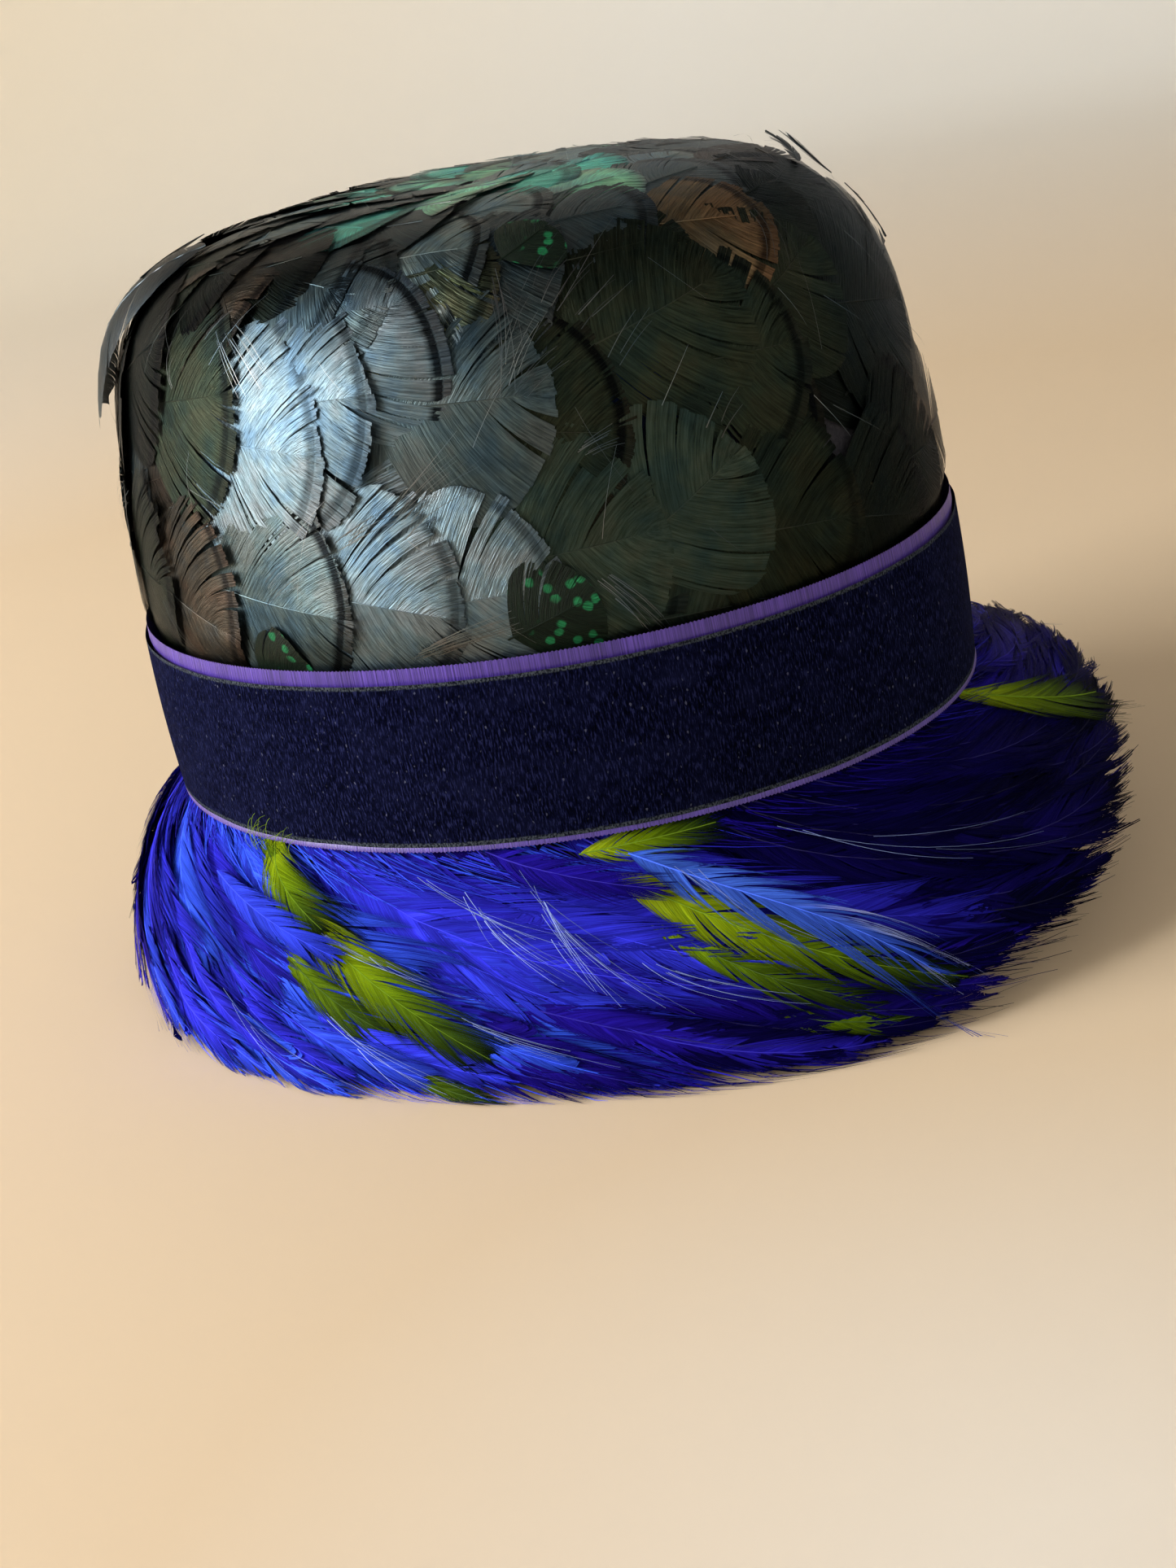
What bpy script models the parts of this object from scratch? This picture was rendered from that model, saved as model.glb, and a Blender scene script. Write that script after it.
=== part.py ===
"""Feather cloche hat: felt body, feathered crown, two ribbons and a feathered brim.

Metres, +Z up. The front of the hat faces -Y and the wearer's right side faces -X. The hat rests
on its brim at z = 0, with the origin under the middle of its box. Every layer is a loft round
the same head oval. A place on a layer is an angle in degrees from the front toward the wearer's
right, a distance `out` from the outside of the velvet ribbon, and a height.
"""

import math

import bmesh
import bpy
from mathutils import Vector

# Head oval, measured over the velvet ribbon, and where its middle lies
HALF_LENGTH = 0.1028
HALF_WIDTH = 0.0898
OVAL_X = -0.0041
OVAL_Y = 0.0073

# Heights above the table
RIBBON_FOOT = 0.0500
VELVET_WIDTH = 0.0385
RIBBON_HEAD = RIBBON_FOOT + VELVET_WIDTH
SATIN_ABOVE = 0.0035
SATIN_BELOW = 0.0013

# Layers from the outside in, with the gap that neighbours keep. The feathers' finer columns need
# twice that gap behind the flats of the ribbons
GAP = 0.0003
VELVET = 0.0012
SATIN = 0.0010
PAD = 0.0010
FELT = 0.0020
SATIN_OUT = -(VELVET + GAP)
PAD_OUT = SATIN_OUT - SATIN - 2 * GAP
FELT_OUT = PAD_OUT - PAD - GAP
PAD_SEAM = RIBBON_FOOT + 0.0085

# The felt's upright wall ends short of the ribbon's edges, and bends to the brim part way to it
WALL_END = 0.0020
BEND_OUT = 0.38
BEND_DOWN = 0.70

# Columns round the hat: smooth layers, and feathers with two edges for each smooth column
COLUMNS = 44
FINE_COLUMNS = 2 * COLUMNS
FEATHER_GAP = 0.4
SHARP_ANGLE = 50

# Crown over its feathers: height above the velvet, and distance out from the head oval
CROWN = (
    # height, out
    (0.0041, -0.0016),
    (0.0150, -0.0022),
    (0.0300, -0.0034),
    (0.0450, -0.0056),
    (0.0560, -0.0078),
    (0.0660, -0.0110),
    (0.0740, -0.0155),
    (0.0805, -0.0215),
    (0.0860, -0.0300),
    (0.0895, -0.0420),
    (0.0918, -0.0580),
    (0.0928, -0.0780),
    (0.0930, -HALF_LENGTH),
)
CROWN_PILE = 0.0026
CROWN_LIFT = 0.0012
CROWN_FELT = (0.90, 0.76, 0.66, 0.58, 0.52, 0.46, 0.40, 0.33, 0.20, 0.06)

# Tiers of crown feathers, from the ribbon up: where each ends along the crown's section, how many
# degrees its tips bow, and the rows that shape it
TIERS = (
    # end, bow, rows
    (0.29, 5.0, 4),
    (0.52, 5.0, 4),
    (0.73, 4.0, 4),
    (0.98, 3.0, 3),
)
FEATHER_LIFT = (1.0, 0.55, 0.45, 0.0)
ROOT_LIFT = 0.35

# Brim over its feathers: angle, slopes below the horizontal at the ribbon and at the edge, length
BRIM = (
    # angle, first slope, last slope, length
    (-150, 38, 82, 0.051),
    (-120, 40, 82, 0.061),
    (-95, 36, 80, 0.061),
    (-65, 18, 42, 0.045),
    (-35, 14, 34, 0.038),
    (-5, 18, 46, 0.043),
    (25, 30, 58, 0.056),
    (55, 38, 70, 0.065),
    (85, 46, 78, 0.061),
    (115, 45, 80, 0.058),
    (145, 36, 85, 0.051),
    (180, 28, 86, 0.045),
)
BRIM_TOP = RIBBON_FOOT - SATIN_BELOW - GAP
BRIM_PILE_FOOT = 0.0050
BRIM_PILE_EDGE = 0.0032
BRIM_EDGE = 0.0015
BRIM_FELT = (0.10, 0.26, 0.42, 0.58, 0.72, 0.84)

# Hackles on the brim: the smooth columns that they sweep toward the front, how proud their ridges
# stand once they are full, how much of that the edge loses, and how far tips and notches lie past
# the mean edge, in a pattern that repeats
SWEEP_COLUMNS = 3
SWEEP_POWER = 1.3
RIDGE = 0.0016
RIDGE_FULL = 0.25
RIDGE_LOSS = 0.35
TIPS = (0.09, 0.02, 0.06, 0.00, 0.11, 0.04)
NOTCH = -0.06
BRIM_ROWS = (0.06, 0.18, 0.32, 0.46, 0.60, 0.74, 0.88)

# Green hackles on the blue ones: angle and share of the brim at quill and tip, width, and how
# many degrees the middle bows toward the back
GREEN_HACKLES = (
    # quill angle, quill share, tip angle, tip share, width, bow
    (118, 0.08, 106, 0.31, 0.015, 1.5),
    (113, 0.38, 84, 0.76, 0.018, -1.0),
    (72, 0.10, 54, 0.14, 0.012, 1.0),
    (64, 0.27, 37, 0.86, 0.018, -2.0),
    (-3, 0.12, -14, 0.78, 0.016, 1.5),
    (206, 0.22, 186, 0.80, 0.017, -2.0),
    (-98, 0.18, -121, 0.80, 0.018, -2.0),
)
HACKLE_FORM = (
    # share of the length, share of the width
    (0.00, 0.16),
    (0.18, 0.66),
    (0.42, 1.00),
    (0.68, 0.86),
    (0.88, 0.46),
    (1.00, 0.08),
)
HACKLE_STEPS = 7
HACKLE = 0.0010
HACKLE_CLEAR = 0.0020

# The crown feather that stands off at the back shoulder, from quill to tip
SHOULDER_FEATHER = (
    # angle, share of the crown's section, lift, width
    (146, 0.600, 0.0017, 0.004),
    (151, 0.545, 0.0022, 0.014),
    (156, 0.485, 0.0034, 0.020),
    (160, 0.425, 0.0052, 0.021),
    (163, 0.370, 0.0066, 0.016),
    (163, 0.320, 0.0072, 0.003),
)

COLOURS = {
    # name: colour, roughness
    "felt": ((0.012, 0.012, 0.016), 0.95),
    "crown_feather": ((0.030, 0.045, 0.048), 0.38),
    "satin": ((0.130, 0.060, 0.420), 0.40),
    "velvet": ((0.010, 0.010, 0.035), 0.85),
    "blue_hackle": ((0.030, 0.035, 0.420), 0.55),
    "green_hackle": ((0.250, 0.300, 0.020), 0.55),
}


def blend(rows, x, period=None):
    """Values of a table at x, its first column, on a smooth curve through the rows."""
    count = len(rows)

    def row(i):
        if period:
            return (rows[i % count][0] + i // count * period, *rows[i % count][1:])
        return rows[min(max(i, 0), count - 1)]

    if period:
        x = rows[0][0] + (x - rows[0][0]) % period
    at = max([0] + [i for i in range(count) if rows[i][0] <= x])
    if not period:
        at = min(at, count - 2)
    before, low, high, after = (row(at + step) for step in (-1, 0, 1, 2))
    span = high[0] - low[0]
    t = min(max((x - low[0]) / span, 0.0), 1.0)
    values = []
    for k in range(1, len(low)):
        slope = (high[k] - low[k]) / span
        first = (high[k] - before[k]) / (high[0] - before[0]) if before[0] < low[0] else slope
        last = (after[k] - low[k]) / (after[0] - low[0]) if after[0] > high[0] else slope
        ends = low[k] * (1 + 2 * t) * (1 - t) ** 2 + high[k] * t * t * (3 - 2 * t)
        values.append(ends + span * t * (1 - t) * (first * (1 - t) - last * t))
    return values


def by_length(section):
    """Rows of a section with the share of its length put first."""
    lengths = [0.0]
    for low, high in zip(section, section[1:]):
        lengths.append(lengths[-1] + math.dist(low, high))
    return [(length / lengths[-1], *row) for length, row in zip(lengths, section)]


CROWN_BY_LENGTH = by_length(CROWN)


def place(angle, out, height):
    """Point at an angle from the front, `out` from the head oval, at a height.

    Far inside the oval the ring grows rounder, so that it closes at the crown's pole.
    """
    turn = math.radians(angle)
    rounder = (HALF_LENGTH - HALF_WIDTH) * (min(out, 0.0) / HALF_LENGTH) ** 2
    x = -(HALF_WIDTH + out + rounder) * math.sin(turn)
    y = -(HALF_LENGTH + out) * math.cos(turn)
    return Vector((OVAL_X + x, OVAL_Y + y, height))


def on_crown(angle, share, lift):
    """Point over the crown's section, which runs from 0 at the ribbon to 1 at the pole."""
    step = 0.01
    low_height, low_out = blend(CROWN_BY_LENGTH, share - step)
    high_height, high_out = blend(CROWN_BY_LENGTH, share + step)
    height, out = blend(CROWN_BY_LENGTH, share)
    rise, run = high_height - low_height, low_out - high_out
    size = math.hypot(rise, run)
    return place(angle, out + lift * rise / size, RIBBON_HEAD + height + lift * run / size)


def brim_section(angle, share, lift):
    """Out and height over the brim's section, from 0 at the ribbon to 1 at the edge."""
    first, last, length = blend(BRIM, angle, 360)
    first, last = math.radians(first), math.radians(last)
    slope = first + (last - first) * share
    radius = length / (last - first)
    out = PAD_OUT + radius * (math.sin(slope) - math.sin(first))
    height = BRIM_TOP - radius * (math.cos(first) - math.cos(slope))
    return out + lift * math.sin(slope), max(height + lift * math.cos(slope), 0.0)


def on_brim(angle, share, lift):
    """Point over the brim's section, which never dips under the table."""
    return place(angle, *brim_section(angle, share, lift))


def even_ring(out, height, count=COLUMNS):
    """Ring round the head oval at one distance and height."""
    return [place(360 * i / count, out, height) for i in range(count)]


def loft(bm, rings, start=None, end=None, turn=None):
    """Faces between rings of points, of which later ones may hold half as many.

    A pole closes either end, or else the last ring meets the first one, turned by some columns.
    Each quad starts at the corner that makes its diagonal run the same way up or down, so that
    layers that face each other have the same facets.
    """
    rings = [[bm.verts.new(point) for point in ring] for ring in rings]
    pairs = list(zip(rings, rings[1:]))
    if turn is not None:
        pairs.append((rings[0][-2 * turn:] + rings[0][:-2 * turn], rings[-1]))
    for ring, following in pairs:
        count = len(following)
        first = 1 if following[0].co.z > ring[0].co.z else 0
        for i in range(count):
            after = (i + 1) % count
            if len(ring) == count:
                quad = [ring[i], ring[after], following[after], following[i]]
                bm.faces.new(quad[first:] + quad[:first])
            else:
                near, middle, far = ring[2 * i], ring[2 * i + 1], ring[2 * after]
                bm.faces.new((near, middle, following[after], following[i]))
                bm.faces.new((middle, far, following[after]))
    for pole, ring in ((start, rings[0]), (end, rings[-1])):
        if pole:
            tip = bm.verts.new(pole)
            for i, vert in enumerate(ring):
                bm.faces.new((vert, ring[(i + 1) % len(ring)], tip))
    bmesh.ops.recalc_face_normals(bm, faces=bm.faces)


def face_out(bm):
    """Turns the faces of an open sheet so that they look away from the hat's middle."""
    bm.normal_update()
    middle = Vector((OVAL_X, OVAL_Y, 0.0))
    if sum(f.normal.dot(f.calc_center_median() - middle) * f.calc_area() for f in bm.faces) < 0:
        bmesh.ops.reverse_faces(bm, faces=bm.faces)


def new_object(name, bm, finish, collection, thickness=None):
    """Object from a finished bmesh; an open sheet gets its thickness behind its faces."""
    if thickness:
        face_out(bm)
    mesh = bpy.data.meshes.new(name)
    bm.to_mesh(mesh)
    bm.free()
    mesh.shade_smooth()
    mesh.set_sharp_from_angle(angle=math.radians(SHARP_ANGLE))
    mesh.materials.append(finish)
    obj = bpy.data.objects.new(name, mesh)
    collection.objects.link(obj)
    if thickness:
        modifier = obj.modifiers.new("Thickness", "SOLIDIFY")
        modifier.thickness = thickness
        modifier.offset = -1
        modifier.use_even_offset = True
    return obj


def felt_brim_section(angle):
    """Felt's outer section from the wall behind the ribbons to its edge, as out and height."""
    wall = (FELT_OUT, RIBBON_FOOT + WALL_END)
    flare = []
    for share in BRIM_FELT:
        pile = BRIM_PILE_FOOT + (BRIM_PILE_EDGE - BRIM_PILE_FOOT) * share
        flare.append(brim_section(angle, share, -pile))
    bend_out = wall[0] + (flare[0][0] - wall[0]) * BEND_OUT
    bend_height = wall[1] + (flare[0][1] - wall[1]) * BEND_DOWN
    return [(FELT_OUT, PAD_SEAM), wall, (bend_out, bend_height)] + flare


def felt_brim_rings(distance):
    """Rings of the felt's brim, from the top down, moved off the felt by a distance."""
    columns = []
    for i in range(COLUMNS):
        angle = 360 * i / COLUMNS
        section = felt_brim_section(angle)
        column = []
        for k, (out, height) in enumerate(section):
            above, below = section[max(k - 1, 0)], section[min(k + 1, len(section) - 1)]
            run, fall = below[0] - above[0], above[1] - below[1]
            size = math.hypot(run, fall)
            column.append(place(angle, out + distance * fall / size, height + distance * run / size))
        columns.append(column)
    return [list(ring) for ring in zip(*columns)]


def crown_ring(share, lift):
    """Smooth ring over the crown's section."""
    return [on_crown(360 * i / COLUMNS, share, lift) for i in range(COLUMNS)]


def build_felt_body(finish, collection):
    """One blocked felt piece: crown and brim, open below."""
    rings = [crown_ring(share, -CROWN_PILE) for share in CROWN_FELT]
    rings.append(even_ring(FELT_OUT, RIBBON_HEAD - WALL_END))
    rings += felt_brim_rings(0.0)
    bm = bmesh.new()
    loft(bm, rings, start=on_crown(0, 1.0, -CROWN_PILE))
    return new_object("felt_body", bm, finish, collection, FELT)


def feather_angle(column):
    """Angle of a fine column on the crown: pairs close up where one feather's tip ends."""
    side = -FEATHER_GAP if column % 2 else FEATHER_GAP
    return 360 / COLUMNS * ((column + 1) // 2) + side


def feather_ring(share, tier, arch, bow):
    """Ring over the crown feathers: each rises to its tip, which points toward the front."""
    ring = []
    for column in range(FINE_COLUMNS):
        quarter = (column + 2 * (tier % 2)) % 4
        lift = CROWN_LIFT * (FEATHER_LIFT[quarter] * (ROOT_LIFT + (1 - ROOT_LIFT) * arch) - 1)
        ring.append(on_crown(feather_angle(column) - bow * arch, share, lift))
    return ring


def build_crown_feathers(finish, collection):
    """Feather pad on the crown, with the lift, tips and tiers of its shingled feathers."""
    outer = []
    start = 0.0
    for tier, (end, bow, rows) in enumerate(TIERS):
        for i in range(rows):
            part = i / rows
            outer.append(feather_ring(start + (end - start) * part, tier, 4 * part * (1 - part), bow))
        start = end
    outer.append(feather_ring(start, len(TIERS) - 1, 0.0, 0.0))
    outer.reverse()
    for height in (RIBBON_HEAD + SATIN_ABOVE + GAP, PAD_SEAM + GAP):
        outer.append([place(feather_angle(column), PAD_OUT, height) for column in range(FINE_COLUMNS)])
    inner = [even_ring(PAD_OUT - PAD, height) for height in (PAD_SEAM + GAP, RIBBON_HEAD - WALL_END)]
    inner += [crown_ring(share, GAP - CROWN_PILE) for share in CROWN_FELT[::-1]]
    bm = bmesh.new()
    under = on_crown(0, 1.0, GAP - CROWN_PILE)
    loft(bm, outer + inner, start=on_crown(0, 1.0, -CROWN_LIFT), end=under)
    return new_object("crown_feathers", bm, finish, collection)


def build_ribbon(name, out, thickness, foot, head, finish, collection):
    """Flat ribbon round the head oval."""
    bm = bmesh.new()
    loft(bm, [even_ring(out, head), even_ring(out, foot)])
    return new_object(name, bm, finish, collection, thickness)


def hackle_angle(column, share):
    """Angle of a fine column on the brim, where the hackles sweep toward the front."""
    return 360 / FINE_COLUMNS * column - 360 / COLUMNS * SWEEP_COLUMNS * share ** SWEEP_POWER


def hackle_reach(column, share):
    """Share of the brim that a column reaches: odd columns are ridges and end in tips."""
    reach = TIPS[column // 2 % len(TIPS)] if column % 2 else NOTCH
    return share * (1 + reach * share ** 3)


def build_brim_feathers(finish, collection):
    """Blue hackles on the brim: ridged locks fused to a backing, with tips past the felt."""
    rings = [even_ring(PAD_OUT, PAD_SEAM, FINE_COLUMNS), even_ring(PAD_OUT, BRIM_TOP, FINE_COLUMNS)]
    for share in BRIM_ROWS:
        swell = RIDGE * min(1.0, share / RIDGE_FULL) * (1 - RIDGE_LOSS * share)
        ring = []
        for column in range(FINE_COLUMNS):
            lift = swell if column % 2 else -swell
            ring.append(on_brim(hackle_angle(column, share), hackle_reach(column, share), lift))
        rings.append(ring)
    edge, foot = [], []
    for column in range(FINE_COLUMNS):
        angle = hackle_angle(column, 1.0)
        out, height = brim_section(angle, hackle_reach(column, 1.0), 0.0)
        edge.append(place(angle, out, height))
        if column % 2 == 0:
            foot.append(place(angle, out - BRIM_EDGE, height))
    under = felt_brim_rings(GAP)[:0:-1] + [even_ring(PAD_OUT - PAD, PAD_SEAM)]
    rings += [edge, foot] + [ring[-SWEEP_COLUMNS:] + ring[:-SWEEP_COLUMNS] for ring in under]
    bm = bmesh.new()
    loft(bm, rings, turn=SWEEP_COLUMNS)
    return new_object("brim_feathers", bm, finish, collection)


def build_blade(name, surface, stations, finish, collection):
    """Thin feather over a surface, from stations of angle, share, lift and width."""
    bm = bmesh.new()
    centres = [surface(angle, share, lift) for angle, share, lift, _ in stations]
    rows = []
    for k, (angle, share, lift, width) in enumerate(stations):
        up = surface(angle, share, lift + HACKLE) - centres[k]
        along = centres[min(k + 1, len(centres) - 1)] - centres[max(k - 1, 0)]
        across = along.cross(up).normalized() * width / 2
        rows.append([bm.verts.new(centres[k] + across * side) for side in (-1, 0, 1)])
    for row, following in zip(rows, rows[1:]):
        for i in (0, 1):
            bm.faces.new((row[i], row[i + 1], following[i + 1], following[i]))
    return new_object(name, bm, finish, collection, HACKLE)


def build_green_hackle(number, row, finish, collection):
    """One yellow-green hackle, lying just clear of the blue ones."""
    quill_angle, quill_share, tip_angle, tip_share, width, bow = row
    stations = []
    for i in range(HACKLE_STEPS + 1):
        t = i / HACKLE_STEPS
        angle = quill_angle + (tip_angle - quill_angle) * t + bow * math.sin(math.pi * t)
        share = quill_share + (tip_share - quill_share) * t
        stations.append((angle, share, HACKLE_CLEAR + HACKLE, width * blend(HACKLE_FORM, t)[0]))
    return build_blade(f"green_hackle_{number}", on_brim, stations, finish, collection)


def new_material(name):
    """Principled material of one of the named colours."""
    (red, green, blue), roughness = COLOURS[name]
    finish = bpy.data.materials.new(name)
    finish.use_nodes = True
    shader = finish.node_tree.nodes["Principled BSDF"]
    shader.inputs["Base Color"].default_value = (red, green, blue, 1.0)
    shader.inputs["Roughness"].default_value = roughness
    shader.inputs["Metallic"].default_value = 0.0
    return finish


def main():
    for obj in list(bpy.data.objects):
        bpy.data.objects.remove(obj, do_unlink=True)
    hat = bpy.data.collections.new("feather_cloche_hat")
    bpy.context.scene.collection.children.link(hat)
    finishes = {name: new_material(name) for name in COLOURS}

    build_felt_body(finishes["felt"], hat)
    build_crown_feathers(finishes["crown_feather"], hat)
    satin_foot, satin_head = RIBBON_FOOT - SATIN_BELOW, RIBBON_HEAD + SATIN_ABOVE
    build_ribbon("satin_ribbon", SATIN_OUT, SATIN, satin_foot, satin_head, finishes["satin"], hat)
    build_ribbon("velvet_ribbon", 0.0, VELVET, RIBBON_FOOT, RIBBON_HEAD, finishes["velvet"], hat)
    build_brim_feathers(finishes["blue_hackle"], hat)
    for number, row in enumerate(GREEN_HACKLES, 1):
        build_green_hackle(number, row, finishes["green_hackle"], hat)
    build_blade("shoulder_feather", on_crown, SHOULDER_FEATHER, finishes["crown_feather"], hat)


main()
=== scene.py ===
"""Feather cloche hat: the looks of every surface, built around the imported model.

Metres, +Z up. A place on the hat is an angle in degrees from the front (-Y) toward the wearer's
right (-X), with a distance up the crown or a share of the brim, and a lift off that surface.
Every feather is made of barbs: narrow strips of quads that leave a quill and end at its rim.
"""

import math

import bpy
import numpy as np
from mathutils import Matrix, Vector


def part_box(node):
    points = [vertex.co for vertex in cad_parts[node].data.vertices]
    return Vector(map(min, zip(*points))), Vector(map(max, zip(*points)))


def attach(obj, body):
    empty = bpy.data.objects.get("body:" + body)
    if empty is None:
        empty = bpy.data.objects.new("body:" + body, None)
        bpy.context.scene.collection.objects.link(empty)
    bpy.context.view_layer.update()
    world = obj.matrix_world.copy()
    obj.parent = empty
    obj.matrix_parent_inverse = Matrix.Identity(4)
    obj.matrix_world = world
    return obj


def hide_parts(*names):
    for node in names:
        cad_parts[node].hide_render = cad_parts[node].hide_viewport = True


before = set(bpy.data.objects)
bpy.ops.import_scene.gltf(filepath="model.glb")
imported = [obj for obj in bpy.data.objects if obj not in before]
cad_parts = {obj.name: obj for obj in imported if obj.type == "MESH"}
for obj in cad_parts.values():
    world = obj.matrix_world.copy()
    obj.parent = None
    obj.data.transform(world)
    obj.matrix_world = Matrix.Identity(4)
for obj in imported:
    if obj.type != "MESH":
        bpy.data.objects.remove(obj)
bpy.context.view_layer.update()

# Head oval and ribbons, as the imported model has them
VELVET_LOW, VELVET_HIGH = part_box("velvet_ribbon")
SATIN_LOW, SATIN_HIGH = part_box("satin_ribbon")
OVAL_X = (VELVET_LOW.x + VELVET_HIGH.x) / 2
OVAL_Y = (VELVET_LOW.y + VELVET_HIGH.y) / 2
HALF_WIDTH = (VELVET_HIGH.x - VELVET_LOW.x) / 2
HALF_LENGTH = (VELVET_HIGH.y - VELVET_LOW.y) / 2
MEAN_RADIUS = (HALF_WIDTH + HALF_LENGTH) / 2
RIBBON_FOOT = VELVET_LOW.z
RIBBON_HEAD = VELVET_HIGH.z
SATIN_FOOT = SATIN_LOW.z
SATIN_HEAD = SATIN_HIGH.z
# Out from the head oval: the satin ribbon, and the brim's foot where it tucks in behind the ribbons
SATIN_OUT = -0.0014
TUCK_OUT = -0.0031
# Height of the lowest barbs over the floor, outward push of a deeper point as a share of its depth,
# and height of the pile of such points with the depth over which it builds up
FLOOR_CLEAR = 0.0004
FLOOR_PUSH = 0.30
PILE_HEIGHT = 0.0006
PILE_DEPTH = 0.004
# Lift of the second point that gives the direction off a surface, and step that gives its slope
PROBE = 0.003
BRIM_PROBE = 0.004
SLOPE_STEP = 0.0015
# Points in the crown's section, and halvings that find the oval through a place on its top
SECTION_POINTS = 600
HALVINGS = 26

# Crown over its feathers, down to where they tuck in behind the ribbons
CROWN = (
    # height above the velvet, out
    (-0.0090, -0.0038),
    (0.0026, -0.0034),
    (0.0075, -0.0021),
    (0.0150, -0.0022),
    (0.0300, -0.0034),
    (0.0450, -0.0056),
    (0.0560, -0.0078),
    (0.0660, -0.0110),
    (0.0740, -0.0155),
    (0.0805, -0.0215),
    (0.0860, -0.0300),
    (0.0895, -0.0420),
    (0.0918, -0.0580),
    (0.0928, -0.0780),
    (0.0930, -HALF_LENGTH),
)

# Brim over its feathers: slopes below the horizontal at the ribbon and at the edge, and length
BRIM = (
    # angle, first slope, last slope, length
    (-150, 38, 82, 0.051),
    (-120, 40, 82, 0.061),
    (-95, 36, 80, 0.061),
    (-65, 18, 42, 0.045),
    (-35, 14, 34, 0.038),
    (-5, 18, 46, 0.043),
    (25, 30, 58, 0.056),
    (55, 38, 70, 0.065),
    (85, 46, 78, 0.061),
    (115, 45, 80, 0.058),
    (145, 36, 85, 0.051),
    (180, 28, 86, 0.045),
)
BRIM_TOP = SATIN_FOOT - 0.0003

# How far round the hat, in degrees, a hackle as long as the brim sweeps toward the front
SWEEP = (
    # angle, sweep
    (-140, 42),
    (-80, 34),
    (-20, 32),
    (20, 46),
    (60, 56),
    (105, 74),
    (150, 56),
    (190, 46),
)

# Tiers of fan feathers up the crown's wall, and rings of them on its top
WALL_TIERS = (
    # middle up the crown, feathers, length, heading up, lift at foot, rise to the tip, barbs
    (0.008, 24, 0.042, 0, -0.0020, 0.0003, 26),
    (0.042, 24, 0.044, 2, -0.0021, 0.0002, 26),
    (0.078, 22, 0.044, 4, -0.0022, 0.0002, 26),
    (0.020, 25, 0.042, 2, -0.0014, 0.0024, 56),
    (0.058, 28, 0.042, 5, -0.0019, 0.0025, 54),
    (0.091, 23, 0.040, 7, -0.0024, 0.0025, 50),
)
TOP_RINGS = (
    # distance from the pole, feathers, length, turn inward, lift, barbs
    (0.060, 18, 0.034, 10, -0.0007, 38),
    (0.044, 13, 0.031, 14, -0.0009, 36),
    (0.027, 9, 0.029, 16, -0.0010, 34),
    (0.011, 5, 0.027, 20, -0.0012, 34),
)

PLUMAGE = {
    # name: what a crown feather reflects head on
    "ink": (0.007, 0.010, 0.008),
    "slate": (0.052, 0.072, 0.078),
    "steel": (0.105, 0.145, 0.172),
    "green": (0.032, 0.047, 0.037),
    "moss": (0.016, 0.021, 0.014),
    "umber": (0.050, 0.042, 0.034),
    "bronze": (0.135, 0.092, 0.050),
    "gold": (0.085, 0.095, 0.065),
    "peacock": (0.080, 0.280, 0.260),
    "opal": (0.190, 0.230, 0.220),
    "silver": (0.200, 0.260, 0.265),
    "royal": (0.006, 0.010, 0.018),
}
# Colours that some of them show in a band across the middle of the feather
GLEAMS = {
    "gold": (0.170, 0.200, 0.100),
    "peacock": (0.140, 0.820, 0.680),
    "opal": (0.300, 0.800, 0.520),
    "royal": (0.003, 0.010, 0.060),
}
PATCHES = (
    # angle, up, radius, plumage
    (38, 0.092, 0.013, "bronze"),
    (92, 0.085, 0.010, "gold"),
    (55, 0.043, 0.008, "royal"),
)
# Zones of plumage round the crown: the feathers' own colours, with painted light and shade as well:
# reflective steel where the window's highlight falls and dark ink on the side away from the window
ZONES = (
    # lowest up, first angle, last angle, plumage to draw from; the first that fits is used
    (0.116, -180, 180, ("peacock", "silver", "opal", "silver", "peacock", "slate")),
    (0.100, 66, 180, ("silver", "slate", "silver", "umber")),
    (0.100, -180, 180, ("umber", "slate", "umber", "slate")),
    (-1, -60, 8, ("umber", "ink", "umber", "moss")),
    (-1, 8, 34, ("ink", "ink", "ink", "moss")),
    (-1, 34, 46, ("moss", "green", "moss")),
    (-1, 46, 70, ("green", "green", "moss", "green")),
    (-1, 70, 80, ("slate", "green", "slate")),
    (-1, 80, 92, ("slate", "steel", "steel")),
    (-1, 92, 114, ("steel", "slate", "steel", "steel")),
    (-1, 114, 165, ("slate", "moss", "ink", "umber")),
    (-1, -180, 180, ("green", "slate", "ink", "umber", "moss", "steel")),
)
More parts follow.
